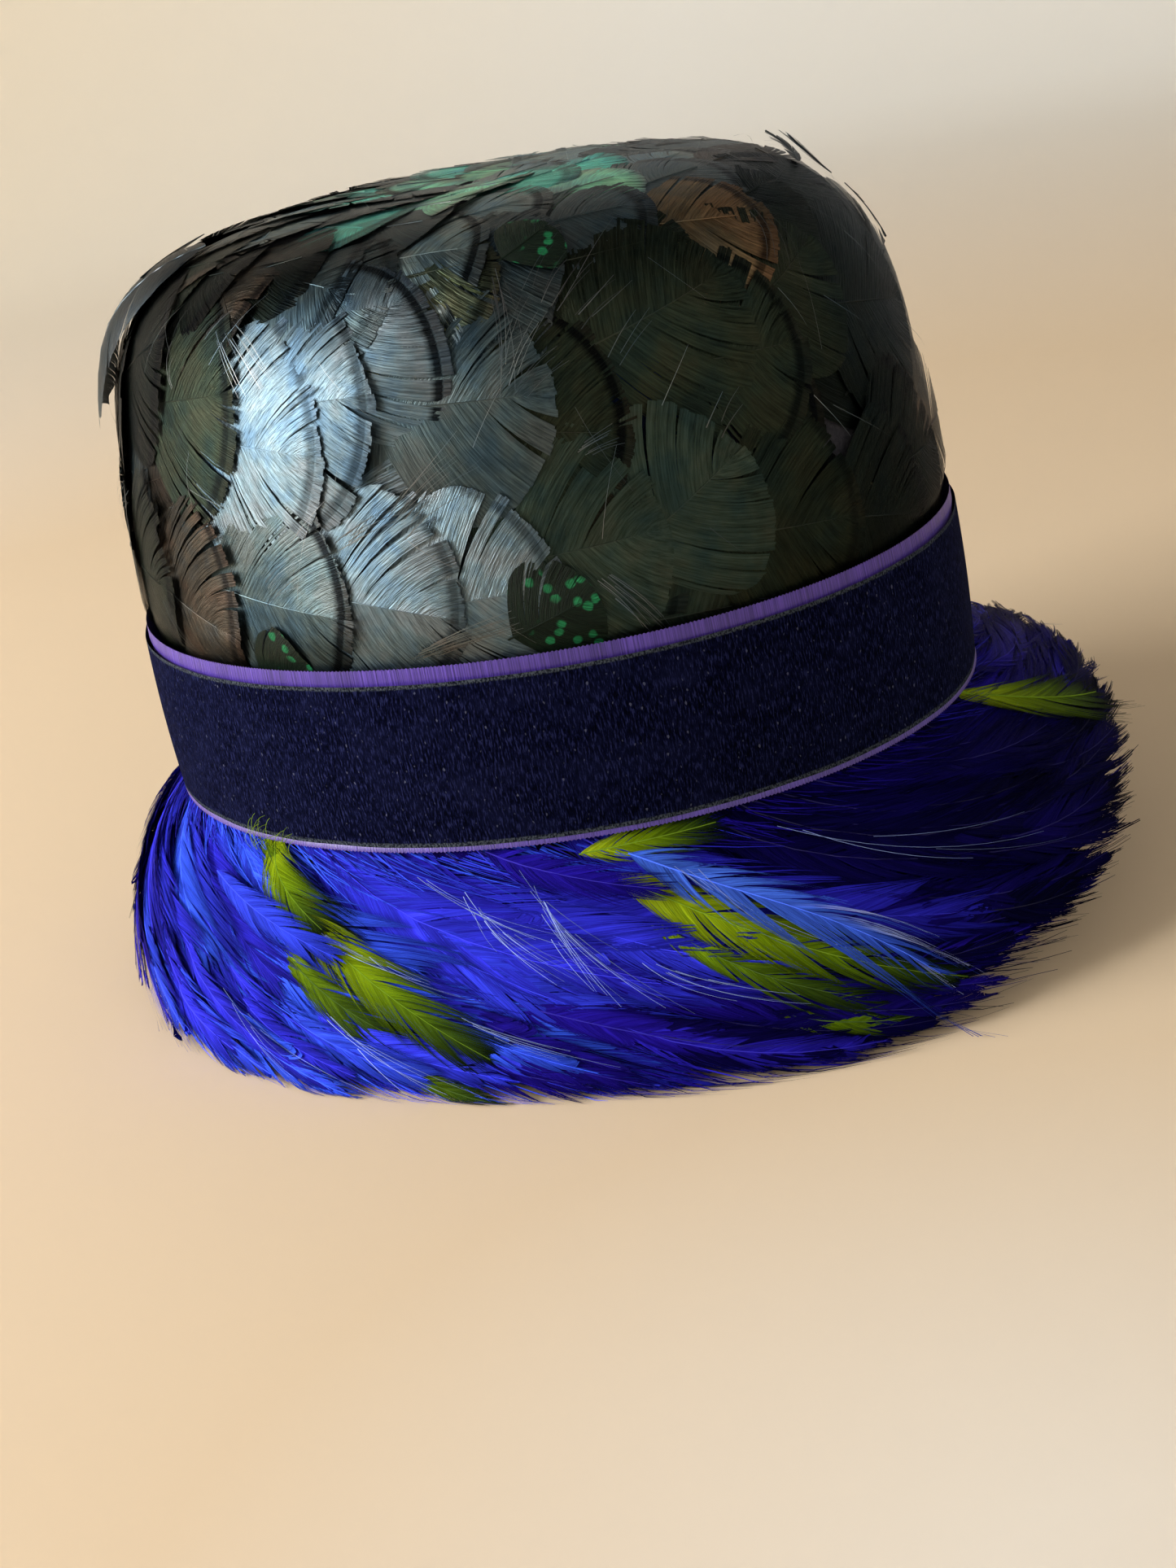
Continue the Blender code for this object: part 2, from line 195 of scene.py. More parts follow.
# Bundles of barbs that lie loose across the crown, tinted pale as a painted glint
CROWN_LOCKS = (
    # first angle, up, last angle, up, strands, breadth, brightness of the painted glint
    (112, 0.078, 105, 0.067, 9, 0.0060, 0.9),
    (112, 0.097, 102, 0.087, 5, 0.0040, 0.2),
    (68.5, 0.082, 69.5, 0.061, 6, 0.0030, 1.3),
    (69.5, 0.062, 64.5, 0.0735, 5, 0.0040, 1.2),
    (69, 0.057, 63, 0.063, 5, 0.0030, 0.6),
    (86, 0.0355, 77, 0.0460, 10, 0.0070, 1.0),
    (87, 0.0060, 76, 0.0105, 16, 0.0030, 1.0),
    (94, 0.0320, 86, 0.0375, 11, 0.0026, 0.8),
    (107, 0.021, 100.5, 0.027, 7, 0.0035, 1.2),
    (61, 0.073, 55, 0.080, 11, 0.0130, 0.7),
    (56, 0.060, 50.5, 0.0675, 3, 0.0025, 0.9),
    (44.5, 0.042, 41, 0.048, 3, 0.0040, 0.8),
    (23, 0.084, 26, 0.072, 4, 0.0050, 0.6),
    (62, 0.044, 58, 0.046, 7, 0.0030, 0.7),
    (62, 0.016, 57, 0.004, 12, 0.0030, 0.8),
    (43, 0.003, 38, -0.001, 6, 0.0016, 0.6),
    (132, 0.019, 124, 0.000, 6, 0.0030, 0.7),
    (-40, 0.050, -48, 0.058, 8, 0.0050, 0.9),
    (-92, 0.030, -99, 0.040, 9, 0.0060, 1.0),
    (-118, 0.072, -124, 0.082, 7, 0.0050, 1.0),
    (176, 0.044, 168, 0.054, 9, 0.0060, 1.0),
    (205, 0.076, 199, 0.066, 8, 0.0050, 1.0),
    (148, 0.030, 141, 0.040, 7, 0.0050, 0.9),
)
# Slender feathers that stand off the crown's shoulders
SLIVERS = (
    # first angle, up, last angle, up, lift at the tip, width
    (-6, 0.0900, -28, 0.0965, 0.0032, 0.0040),
    (-14, 0.0820, -22, 0.0930, 0.0036, 0.0050),
    (-20, 0.0770, -8, 0.0640, 0.0022, 0.0034),
    (174, 0.1000, 157, 0.0860, 0.0030, 0.0045),
)
SPOTTED = (
    # angle, up, heading, length
    (76, 0.007, 20, 0.022),
    (114, 0.002, 4, 0.018),
    (68, 0.087, 30, 0.015),
)

# Rows of blue hackles on the brim, from the lowest to the uppermost
BRIM_ROWS = (
    # name, feathers, roots' first and last share, tips', width, lift at root and tip, barbs, roll
    ("under", 96, (-0.06, 0.20), (0.88, 0.98), 0.019, (-0.0038, -0.0022), 60, -0.09),
    ("middle", 96, (0.14, 0.42), (0.88, 1.00), 0.015, (-0.0026, -0.0006), 64, -0.08),
    ("over", 92, (-0.10, 0.12), (0.50, 0.86), 0.0145, (-0.0016, 0.0008), 70, -0.06),
    ("wisps", 84, (0.40, 0.72), (0.92, 1.05), 0.008, (-0.0010, 0.0022), 46, -0.04),
)
BLUES = (
    # tone, hue of a blue hackle
    (-0.50, 0.0012, 0.0010, 0.016),
    (0.00, 0.0034, 0.0016, 0.062),
    (0.33, 0.0115, 0.0050, 0.250),
    (0.66, 0.0210, 0.0220, 0.520),
    (1.00, 0.0320, 0.0820, 0.820),
)
# Tone of the blue hackles round the brim: their own tone with painted light and shade, lighter on the
# window side and near black on the side away from it
TONES_WITH_PAINTED_LIGHT = (
    # angle, tone at the ribbon, tone at the edge
    (-150, 0.60, 0.55),
    (-90, 0.50, 0.40),
    (-45, 0.40, 0.05),
    (-10, 0.35, -0.20),
    (8, 0.22, -0.50),
    (22, 0.08, -0.50),
    (38, 0.08, -0.20),
    (52, 0.20, 0.00),
    (67, 0.40, 0.25),
    (85, 0.82, 0.72),
    (105, 0.68, 0.86),
    (118, 0.82, 1.00),
    (135, 0.88, 0.74),
    (152, 0.45, 0.40),
)
# Share of the brim that the hackles keep, where they end short of its edge
TRIM = (
    # angle, share kept
    (-90, 1.00),
    (-55, 0.92),
    (-35, 0.84),
    (-15, 0.84),
    (0, 0.92),
    (15, 1.00),
)
GREEN_HACKLES = (
    # quill angle, quill share, tip angle, tip share, width, bow
    (119, -0.04, 104, 0.34, 0.016, 1.5),
    (111, 0.22, 83, 0.78, 0.014, -1.0),
    (72, 0.07, 54, 0.06, 0.010, 1.0),
    (68, 0.16, 36, 0.94, 0.013, -2.0),
    (6, -0.04, -11, 0.80, 0.017, 1.5),
    (206, 0.20, 186, 0.82, 0.014, -2.0),
    (-98, 0.16, -121, 0.82, 0.014, -2.0),
)
# Ends of other green hackles that show beside the main ones
GREEN_ENDS = (
    # main hackle, quill angle, quill share, tip angle, tip share, width
    (1, 121, 0.00, 110, 0.20, 0.009),
    (2, 112, 0.40, 93, 0.72, 0.010),
    (2, 98, 0.76, 82, 0.95, 0.006),
    (4, 66, 0.30, 44, 0.86, 0.010),
    (4, 55, 0.74, 40, 0.97, 0.007),
    (6, 204, 0.30, 180, 0.86, 0.010),
    (7, -96, 0.30, -126, 0.80, 0.010),
)
GREEN_TINTS = (
    # from root to tip
    (0.300, 0.370, 0.014),
    (0.210, 0.290, 0.006),
    (0.150, 0.230, 0.004),
    (0.085, 0.150, 0.004),
    (0.030, 0.060, 0.006),
    (0.004, 0.010, 0.006),
)
# Pale blue hackle over the green ones: quill angle and share, tip angle and share, width and bow
PALE_HACKLE = (66, 0.10, 39, 0.88, 0.013, -5.5)
PALE_TINTS = (
    (0.036, 0.095, 0.520),
    (0.045, 0.115, 0.620),
    (0.036, 0.095, 0.600),
    (0.020, 0.055, 0.450),
)
# Pale blue that some clumps of a hackle fade to: a painted glint
PAINTED_GLINT_CLUMP = np.array([0.30, 0.36, 0.75])
# Lifts at quill and tip
GREEN_LIFTS = (0.0008, 0.0024)
END_LIFTS = (0.0002, 0.0014)
COVER_LIFTS = (0.0016, 0.0036)
PALE_LIFTS = (0.0016, 0.0034)
# Barbs in each vane
GREEN_BARBS = 110
END_BARBS = 60
SHOULDER_BARBS = 90
SLIVER_BARBS = 34
SPOTTED_BARBS = 36
# Blue hackles that lie over the feet of the green ones
COVER_HACKLES = (
    # quill angle, quill share, tip angle, tip share, width, bow
    (126, 0.22, 100, 0.44, 0.009, -1.5),
    (84, 0.02, 62, 0.27, 0.009, 0.5),
    (220, 0.04, 197, 0.44, 0.011, -1.0),
    (-84, 0.04, -106, 0.40, 0.011, -1.0),
)
POINTED = (
    # share of the length, share of the width
    (0.00, 0.34),
    (0.15, 0.76),
    (0.36, 1.00),
    (0.60, 0.86),
    (0.84, 0.46),
    (1.00, 0.08),
)
BLUNT = (
    # share of the length, share of the width
    (0.00, 0.40),
    (0.20, 0.80),
    (0.50, 1.00),
    (0.80, 1.00),
    (0.94, 0.86),
    (1.00, 0.60),
)
# Bundles of loose barbs over the brim, tinted pale as a painted glint
PAINTED_GLINT_BUNDLES = (
    # first angle, share, last angle, share, strands, spread of their ends in degrees
    (86, 0.17, 73, 0.58, 14, 2.6),
    (79, 0.11, 66, 0.66, 18, 3.4),
    (107, 0.31, 91, 0.49, 5, 1.0),
    (93, 0.10, 73, 0.42, 6, 2.0),
    (99, 0.38, 84, 0.55, 5, 1.6),
    (62, 0.14, 40, 0.80, 9, 2.5),
    (51, 0.10, 6, 0.90, 4, 9.0),
    (68, 0.44, 51, 0.73, 6, 2.2),
    (88, 0.60, 68, 0.86, 6, 4.0),
    (120, 0.62, 98, 0.95, 6, 5.0),
    (104, 0.62, 84, 0.98, 6, 5.0),
)
SHOULDER_FEATHER = (
    # angle, share of the crown's section, lift
    (146, 0.600, 0.0010),
    (151, 0.545, 0.0016),
    (156, 0.485, 0.0028),
    (160, 0.425, 0.0046),
    (163, 0.355, 0.0058),
    (164, 0.290, 0.0060),
)
SHOULDER_WIDTH = 0.026
SHOULDER_TINTS = (
    # from root to tip
    (0.030, 0.037, 0.042),
    (0.045, 0.056, 0.064),
    (0.050, 0.062, 0.070),
    (0.075, 0.095, 0.105),
)
SLIVER_TINTS = ((0.010, 0.012, 0.014), (0.020, 0.026, 0.030), (0.050, 0.075, 0.080))
SPOTTED_TINT = np.array([0.020, 0.034, 0.024, 0.0])
# Pale tint of loose crown barbs, lighter than most fans: a painted glint
CROWN_BARB_PAINTED_GLINT = np.array([0.15, 0.17, 0.18])
# Pale blue of the brim's loose barbs: a painted glint
PAINTED_GLINT_TINT = np.array([0.32, 0.42, 0.88])

# Fan feathers: parts of a barb, range of degrees that a vane opens to, and the middle and radius of
# the rim as shares of the length; the rim draws in between the shoulder and the corner, in degrees
FAN_STEPS = 5
FAN_OPEN = (66, 88)
FAN_MIDDLE = 0.25
FAN_RADIUS = 0.75
FAN_SHOULDER = 50
FAN_CORNER = 84
# Parts of a hackle's barb, and rows of points along a quill
HACKLE_STEPS = 5
QUILL_ROWS = 9

# First seed of the random draws for each kind of feather
SEEDS = {
    "crown": 27,
    "spotted": 8,
    "loose": 14,
    "shoulder": 5,
    "slivers": 6,
    "brim": 31,
    "roots": 61,
    "glints": 77,
    "edge": 52,
    "green": 70,
}
# Number of wall tiers that lie under the others, and the painted shade that darkens them so that gaps
# between the fans read as shadow
UNDERLAYS = 3
UNDERLAY_PAINTED_SHADE = 0.5
# Loose barbs of each kind
CROWN_HAIRS = 90
ROOT_BARBS = 760
EDGE_BARBS = 900
GREEN_FUZZ = 22
# Rim distance that keeps a crown feather's bands off its quill and off loose barbs
NO_BAND = 0.02
QUILL_RIM = 0.05

# Ribbons: parts round the hat, rows across the velvet, and waves round it with their phase and share
VELVET_ROWS = 14
VELVET_COLUMNS = 400
SATIN_COLUMNS = 2640
WAVES = ((5, 1, 1.0), (13, 0, 1.0), (29, 2, 0.6))
VELVET_WAVE = 0.00008
SATIN_TEETH = 0.0003
SATIN_SECTION = (
    # height, out
    (SATIN_FOOT, -0.0003),
    (RIBBON_FOOT, -0.0005),
    (RIBBON_FOOT + 0.001, SATIN_OUT),
    (RIBBON_HEAD - 0.001, SATIN_OUT),
    (RIBBON_HEAD, -0.0012),
    (SATIN_HEAD, SATIN_OUT),
)

# Studio: the floor's flat part, its bend into the wall, the wall's top, and the middle of a painted pool
# of light on the floor;
# parts of the flat, of the bend and round the floor
FLOOR_RADIUS = 1.25
FLOOR_BEND = 0.55
WALL_TOP = 1.8
FLOOR_PARTS = (5, 12, 96)
PAINTED_LIGHT_POOL = (-0.25, -0.16, 0.0)
LIGHTS = (
    # name, angle, distance, height, width and height of the panel, power, colour
    ("window", 148, 1.55, 0.62, 1.0, 1.2, 57, (1.0, 0.985, 0.96)),
    ("fill", 40, 1.5, 1.0, 1.0, 1.0, 2, (1.0, 0.95, 0.9)),
)
LIGHT_AIM = Vector((OVAL_X, OVAL_Y, 0.10))
SURROUND = (1.0, 0.96, 0.92, 1.0)
SURROUND_STRENGTH = 0.17

# Camera: focal length in millimetres, distance in metres from the place it turns about, and degrees
LENS = 54.1
CAMERA_DISTANCE = 0.5884
CAMERA_ELEVATION = 16.31
CAMERA_HEADING = 23.5
CAMERA_ROLL = 11.33
CAMERA_PIVOT = Vector((OVAL_X, OVAL_Y, RIBBON_FOOT + 0.03))
# How far below that place the middle of the frame is
AIM_BELOW = 0.0507


def smooth(rows, x, period=None):
    """Columns of a table at x, its first column, on a smooth curve through the rows."""
    rows = np.array(rows, float)
    x = np.asarray(x, float)
    if period:
        before, after = rows[-2:].copy(), rows[:2].copy()
        before[:, 0] -= period
        after[:, 0] += period
        x = rows[0, 0] + (x - rows[0, 0]) % period
        rows = np.vstack([before, rows, after])
    step = np.diff(rows[:, :1], axis=0)
    ends = np.diff(rows[:, 1:], axis=0) / step
    inner = (rows[2:, 1:] - rows[:-2, 1:]) / (rows[2:, :1] - rows[:-2, :1])
    slopes = np.vstack([ends[:1], inner, ends[-1:]])
    i = np.clip(np.searchsorted(rows[:, 0], x, side="right") - 1, 0, len(rows) - 2)
    span = step[i]
    t = np.clip((x - rows[i, 0])[..., None] / span, 0, 1)
    low, high = rows[i, 1:], rows[i + 1, 1:]
    values = low * (1 + 2 * t) * (1 - t) ** 2 + high * t * t * (3 - 2 * t)
    return values + span * t * (1 - t) * (slopes[i] * (1 - t) - slopes[i + 1] * t)


def fade(x, start, end):
    """0 before start, 1 after end, and smooth between them."""
    t = np.clip((x - start) / (end - start), 0, 1)
    return t * t * (3 - 2 * t)


def between(start, end, t):
    """Values from start, where t is 0, to end, where t is 1."""
    return start + (end - start) * t


def unit(vectors):
    """Vectors of length 1."""
    return vectors / np.maximum(np.linalg.norm(vectors, axis=-1, keepdims=True), 1e-12)


def half_width(out):
    """Half the width of an oval at a distance out from the head oval; inward they get rounder."""
    return HALF_WIDTH + out + (HALF_LENGTH - HALF_WIDTH) * (np.minimum(out, 0) / HALF_LENGTH) ** 2


def place(angle, height, out):
    """Points at an angle from the front, at a height, out from the head oval."""
    turn = np.radians(angle)
    x = OVAL_X - half_width(out) * np.sin(turn)
    y = OVAL_Y - (HALF_LENGTH + out) * np.cos(turn)
    return np.stack(np.broadcast_arrays(x, y, height), -1)


def crown_section():
    """Crown's section in small steps: distance up it from the velvet's top, height and out."""
    rows = np.array(CROWN)
    reach = np.concatenate([[0], np.cumsum(np.hypot(*np.diff(rows, axis=0).T))])
    reach += rows[0, 0]
    up = np.linspace(reach[0], reach[-1], SECTION_POINTS)
    return up, *smooth(np.column_stack([reach, rows]), up).T


UP, UP_HEIGHT, UP_OUT = crown_section()
# Distance up the crown at which its feathers come out of the ribbons
CROWN_FOOT = 0.0041
CROWN_LENGTH = UP[-1] - CROWN_FOOT


def crown_at(up):
    """Height and out of the crown's section at distances up it."""
    return np.interp(up, UP, UP_HEIGHT), np.interp(up, UP, UP_OUT)


def crown_radius(up):
    """Mean radius of the crown at a distance up it."""
    return MEAN_RADIUS + float(np.interp(up, UP, UP_OUT))


def on_crown(angle, up, lift):
    """Points over the crown, at a distance up its section from the velvet's top."""
    height, out = crown_at(up)
    height = height + np.minimum(up - UP[0], 0)
    middle = np.clip(up, UP[0] + SLOPE_STEP, UP[-1] - SLOPE_STEP)
    foot, outer = crown_at(middle - SLOPE_STEP)
    head, inner = crown_at(middle + SLOPE_STEP)
    rise, run = head - foot, outer - inner
    size = np.hypot(rise, run)
    lift = lift * (0.2 + 0.8 * fade(up, 0.002, 0.012))
    return place(angle, RIBBON_HEAD + height + lift * run / size, out + lift * rise / size)


def over_crown(x, y, lift):
    """Points on the crown's top over places in the plane, given from the head oval's middle."""
    low, high = np.full(np.shape(x), 1e-5 - HALF_LENGTH), np.zeros(np.shape(x))
    for _ in range(HALVINGS):
        out = (low + high) / 2
        outside = (x / half_width(out)) ** 2 + (y / (HALF_LENGTH + out)) ** 2 > 1
        low, high = np.where(outside, out, low), np.where(outside, high, out)
    angle = np.degrees(np.arctan2(-x / half_width(out), -y / (HALF_LENGTH + out)))
    top = UP > 0.03
    return on_crown(angle, np.interp(-out, -UP_OUT[top], UP[top]), lift)


def on_brim(angle, share, lift):
    """Points over the brim, from 0 at the ribbon to 1 at the edge, and behind the ribbon before 0."""
    angle, share, lift = np.broadcast_arrays(angle, share, lift)
    first, last, length = np.moveaxis(smooth(BRIM, angle, 360), -1, 0)
    first, last = np.radians(first), np.radians(last)
    slope = between(first, last, np.maximum(share, 0))
    radius = length / (last - first)
    lift = lift * (0.15 + 0.85 * fade(share, 0.0, 0.16))
    out = TUCK_OUT + radius * (np.sin(slope) - np.sin(first)) + lift * np.sin(slope)
    height = BRIM_TOP - radius * (np.cos(first) - np.cos(slope)) + lift * np.cos(slope)
    height -= np.minimum(share, 0) * length
    return place(angle, height, out)


def brim_end(angle):
    """Share of the brim at which the hackles end: its edge, the floor, or where they fall short."""
    turn = (angle + 180) % 360 - 180
    trimmed = float(np.interp(turn, *np.array(TRIM).T))
    first, last, length = smooth(BRIM, angle, 360)
    first, last = math.radians(first), math.radians(last)
    level = math.cos(first) - (BRIM_TOP - 0.0010) * (last - first) / length
    if level < math.cos(last):
        return trimmed
    return min((math.acos(level) - first) / (last - first), trimmed)


def sweep_at(angle):
    """Degrees that a hackle as long as the brim sweeps round the hat."""
    return float(smooth(SWEEP, angle, 360)[0])


def above_floor(points):
    """Points that would lie under the floor are laid on it and pushed outward."""
    deep = np.maximum(FLOOR_CLEAR - points[..., 2], 0)
    middle = np.array([OVAL_X, OVAL_Y])
    away = unit(points[..., :2] - middle)
    points = points.copy()
    points[..., :2] += away * deep[..., None] * FLOOR_PUSH
    pile = PILE_HEIGHT * (1 - np.exp(-deep / PILE_DEPTH))
    points[..., 2] = np.maximum(points[..., 2], FLOOR_CLEAR) + pile
    return points


def add_object(name, data):
    """A new object of the scene."""
    obj = bpy.data.objects.new(name, data)
    bpy.context.scene.collection.objects.link(obj)
    return obj


class Grids:
    """Grids of points that are joined into one mesh, with texture maps, a rim distance and a tint."""

    def __init__(self):
        self.points, self.quads, self.barb, self.vane, self.rim, self.tint = ([] for _ in range(6))
        self.size = 0

    def add(self, points, barb, rim, tint, vane=(0.0, 0.0)):
        """Grids of one shape: points (grid, row, column, axis) and what goes with each point."""
        shape = points.shape[:3]
        index = self.size + np.arange(math.prod(shape)).reshape(shape)
        corners = (index[:, :-1, :-1], index[:, 1:, :-1], index[:, 1:, 1:], index[:, :-1, 1:])
        self.quads.append(np.stack(corners, -1).reshape(-1, 4))
        self.points.append(points.reshape(-1, 3))
        self.barb.append(np.broadcast_to(barb, shape + (2,)).reshape(-1, 2))
        self.vane.append(np.broadcast_to(vane, shape + (2,)).reshape(-1, 2))
        self.rim.append(np.broadcast_to(rim, shape).reshape(-1))
        self.tint.append(np.broadcast_to(tint, shape + (4,)).reshape(-1, 4))
        self.size += index.size

    def add_barb(self, surface, angle, reach, lift, widths, tint, rim=0.5, up=None):
        """A loose barb: a narrow strip along places on a surface, facing off it or else up."""
        centres = above_floor(surface(angle, reach, lift))
        if up is None:
            up = surface(angle, reach, lift + PROBE) - centres
        side = unit(np.cross(np.gradient(centres, axis=0), unit(up))) * widths[:, None] / 2
        self.add(np.stack([centres - side, centres + side], 1)[None], np.zeros(2), rim, tint)

    def build(self, name, finish):
        """The joined mesh as an object of the scene."""
        points, quads = np.concatenate(self.points), np.concatenate(self.quads)
        mesh = bpy.data.meshes.new(name)
        mesh.from_pydata(points.tolist(), [], quads.tolist())
        for layer, values in (("barb", self.barb), ("vane", self.vane)):
            uv = mesh.uv_layers.new(name=layer)
            uv.data.foreach_set("uv", np.concatenate(values)[quads.ravel()].ravel())
        rim = mesh.attributes.new("rim", "FLOAT", "POINT")
        rim.data.foreach_set("value", np.concatenate(self.rim))
        tint = mesh.attributes.new("tint", "FLOAT_COLOR", "POINT")
        tint.data.foreach_set("color", np.concatenate(self.tint).ravel())
        mesh.shade_smooth()
        mesh.materials.append(finish)
        return add_object(name, mesh)


def rim_shares(count, chance, gap, rng):
    """Where barbs end along a vane's rim, from 0 at the foot to 1 at the tip, with splits."""
    gaps = np.where(rng.random(count) < chance, gap * rng.random(count), 0.0)
    low = np.arange(count) / count + np.cumsum(gaps)
    high = low + 1 / count
    return low / high[-1], high / high[-1], np.cumsum(gaps > 0)


def fan_outline(length, opened, q):
    """Roots and rim ends of a fan's barbs, for q from 0 at its foot to 1 at its tip."""
    root = length * (0.10 + 0.80 * q ** 1.2)
    turn = opened * (1 - q)
    short = np.clip((turn - FAN_SHOULDER) / (FAN_CORNER - FAN_SHOULDER), 0, 1)
    reach = FAN_RADIUS * length * (1 - 0.42 * short ** 2)
    turn = np.radians(turn)
    return root, FAN_MIDDLE * length + reach * np.cos(turn), reach * np.sin(turn)


def add_fan(grids, surface, length, lift, tilt, barbs, tint, rng, split=0.07, gleam=None):
    """One fan-shaped feather: surface turns along, across and lift into points on the hat."""
    u = np.linspace(0, 1, FAN_STEPS + 1)[None, :, None]
    plain = np.arange(barbs) / barbs
    for side in (-1, 1):
        opened = rng.uniform(*FAN_OPEN)
        torn = (1 - plain) * (1.0 if side > 0 else 0.15)
        low, high, group = rim_shares(barbs, split * (1 + 3 * torn), 0.05, rng)
        groups = group[-1] + 1
        edges = np.stack([low, high], -1)[:, None, :]
        roots = np.stack([plain, plain + 1 / barbs], -1)[:, None, :]
        q = between(roots, edges, u ** 1.4)
        root, end_along, end_across = fan_outline(length, opened, q)
        uneven = 0.012 * rng.random(barbs)
        uneven += (0.022 + 0.10 * torn) * rng.random(groups)[group]
        ragged = 1 - uneven[:, None, None] * u
        along = (1 - u) ** 2 * root + 2 * u * (1 - u) * (root + 0.38 * (end_along - root))
        along = (along + u * u * end_along) * ragged
        across = (2 * u * (1 - u) * 0.60 * end_across + u * u * end_across) * ragged
        loose = rng.normal(0, 1, groups)[group] * (0.4 + plain)
        curl = 0.00018 * loose + 0.00003 * rng.normal(0, 1, barbs)
        rise = lift + tilt * along / length + curl[:, None, None] * u ** 2
        rise = rise - 0.0006 * (across / (0.6 * length)) ** 2
        points = surface(along, side * across, rise)
        rim = FAN_RADIUS * length - np.hypot(along - FAN_MIDDLE * length, across)
        shade = rng.uniform(0.85, 1.15, groups)[group] * rng.uniform(0.92, 1.08, barbs)
        colour = shade[:, None, None, None] * tint[:3] + 0 * points
        if gleam:
            share = fade(rim, 0.0, 0.004) * (1 - fade(rim, 0.012, 0.020))
            share *= rng.uniform(0.15, 1.0, groups)[group][:, None, None]
            colour += (np.array(gleam) - colour) * share[..., None]
        colour = np.concatenate([colour, tint[3] + 0 * points[..., :1]], -1)
        turns = np.arange(barbs)[:, None, None] + np.array([0.0, 1.0])
        barb = np.stack(np.broadcast_arrays(u * length * 100, turns), -1)
        vane = np.stack([along, side * across], -1) * 100
        grids.add(points, barb, rim, colour, vane)
    along = np.linspace(0.05, 0.80, QUILL_ROWS)[:, None] * length
    across = np.array([-1.0, 0.0, 1.0]) * np.linspace(0.00024, 0.00007, QUILL_ROWS)[:, None]
    rise = lift + tilt * along / length + np.array([0.00004, 0.00022, 0.00004])
    quill = np.append(np.array(tint[:3]) * 1.2 + 0.012, 0.0)
    grids.add(surface(along, across, rise)[None], np.zeros(2), QUILL_RIM, quill)


def wall_surface(angle, up, heading):
    """Surface for a feather whose quill starts on the crown's wall and points to the front."""
    turn = math.radians(heading)
    radius = crown_radius(up)

    def surface(along, across, lift):
        ahead = along * math.cos(turn) - across * math.sin(turn)
        above = along * math.sin(turn) + across * math.cos(turn)
        return on_crown(angle - np.degrees(ahead / radius), up + above, lift)

    return surface


def top_surface(angle, radius, inward):
    """Surface for a feather on the crown's top, whose quill starts at a distance from the pole."""
    turn = math.radians(angle)
    x, y = -radius * math.sin(turn), -radius * math.cos(turn)
    ahead = math.atan2(-math.sin(turn), math.cos(turn)) + math.radians(inward)
    dx, dy = math.cos(ahead), math.sin(ahead)

    def surface(along, across, lift):
        return over_crown(x + along * dx - across * dy, y + along * dy + across * dx, lift)

    return surface


def plumage(angle, up, rng):
    """Colour of a crown feather with its rim's depth, and its gleam, by where it lies; the zones also give
    a painted highlight on the window side and painted shade on the far side.
    """
    angle = (angle + 180) % 360 - 180
    name = None
    for at, patch_up, radius, patch in PATCHES:
        aside = math.radians(angle - at) * max(UP[-1] - up, 0.01) * 0.75
        if math.hypot(aside, up - patch_up) < radius:
            name = patch
    for lowest, first, last, names in ZONES:
        if name is None and up > lowest and first <= angle <= last:
            name = names[rng.integers(len(names))]
    shade = rng.uniform(0.8, 1.2)
    band = rng.uniform(0.6, 1.0) if rng.random() < 0.7 else 0.15
    return np.array([*(shade * np.array(PLUMAGE[name])), band]), GLEAMS.get(name)


def build_crown(finish):
    """All the fan feathers on the crown, each tier over the one above it."""
    grids = Grids()
    for tier, (middle, count, length, heading, lift, tilt, barbs) in enumerate(WALL_TIERS):
        for i in range(count):
            rng = np.random.default_rng((SEEDS["crown"], tier, i))
            angle = 360 * (i + 0.5 * (tier % 2)) / count + rng.uniform(-3.5, 3.5)
            up = middle + rng.uniform(-0.005, 0.005)
            size = length * rng.uniform(0.90, 1.14)
            turn = heading + rng.normal(0, 13)
            tint, gleam = plumage(angle - 12, up, rng)
            # Painted shade: the underlying tiers are darkened where they show between the fans
            if tier < UNDERLAYS:
                tint[:3] *= UNDERLAY_PAINTED_SHADE
            surface = wall_surface(angle, up, turn)
            add_fan(grids, surface, size, lift, tilt, barbs, tint, rng, gleam=gleam)
    for ring, (radius, count, length, inward, lift, barbs) in enumerate(TOP_RINGS):
        for i in range(count):
            rng = np.random.default_rng((SEEDS["crown"], 10 + ring, i))
            angle = 360 * (i + rng.uniform(-0.18, 0.18)) / count
            size = length * rng.uniform(0.94, 1.10)
            tint, gleam = plumage(angle - 14, UP[-1] - radius, rng)
            surface = top_surface(angle, radius * rng.uniform(0.92, 1.08), inward + rng.normal(0, 8))
            add_fan(grids, surface, size, lift - 0.0012, 0.0018, barbs, tint, rng, gleam=gleam)
    return grids.build("crown_plumage", finish)


def build_spotted(finish):
    """Small dark feathers with green dots, tucked among the fans."""
    rng = np.random.default_rng(SEEDS["spotted"])
    grids = Grids()
    for angle, up, heading, length in SPOTTED:
        surface = wall_surface(angle, up, heading)
        add_fan(grids, surface, length, 0.0004, 0.0012, SPOTTED_BARBS, SPOTTED_TINT, rng, 0.03)
    return grids.build("spotted_plumage", finish)


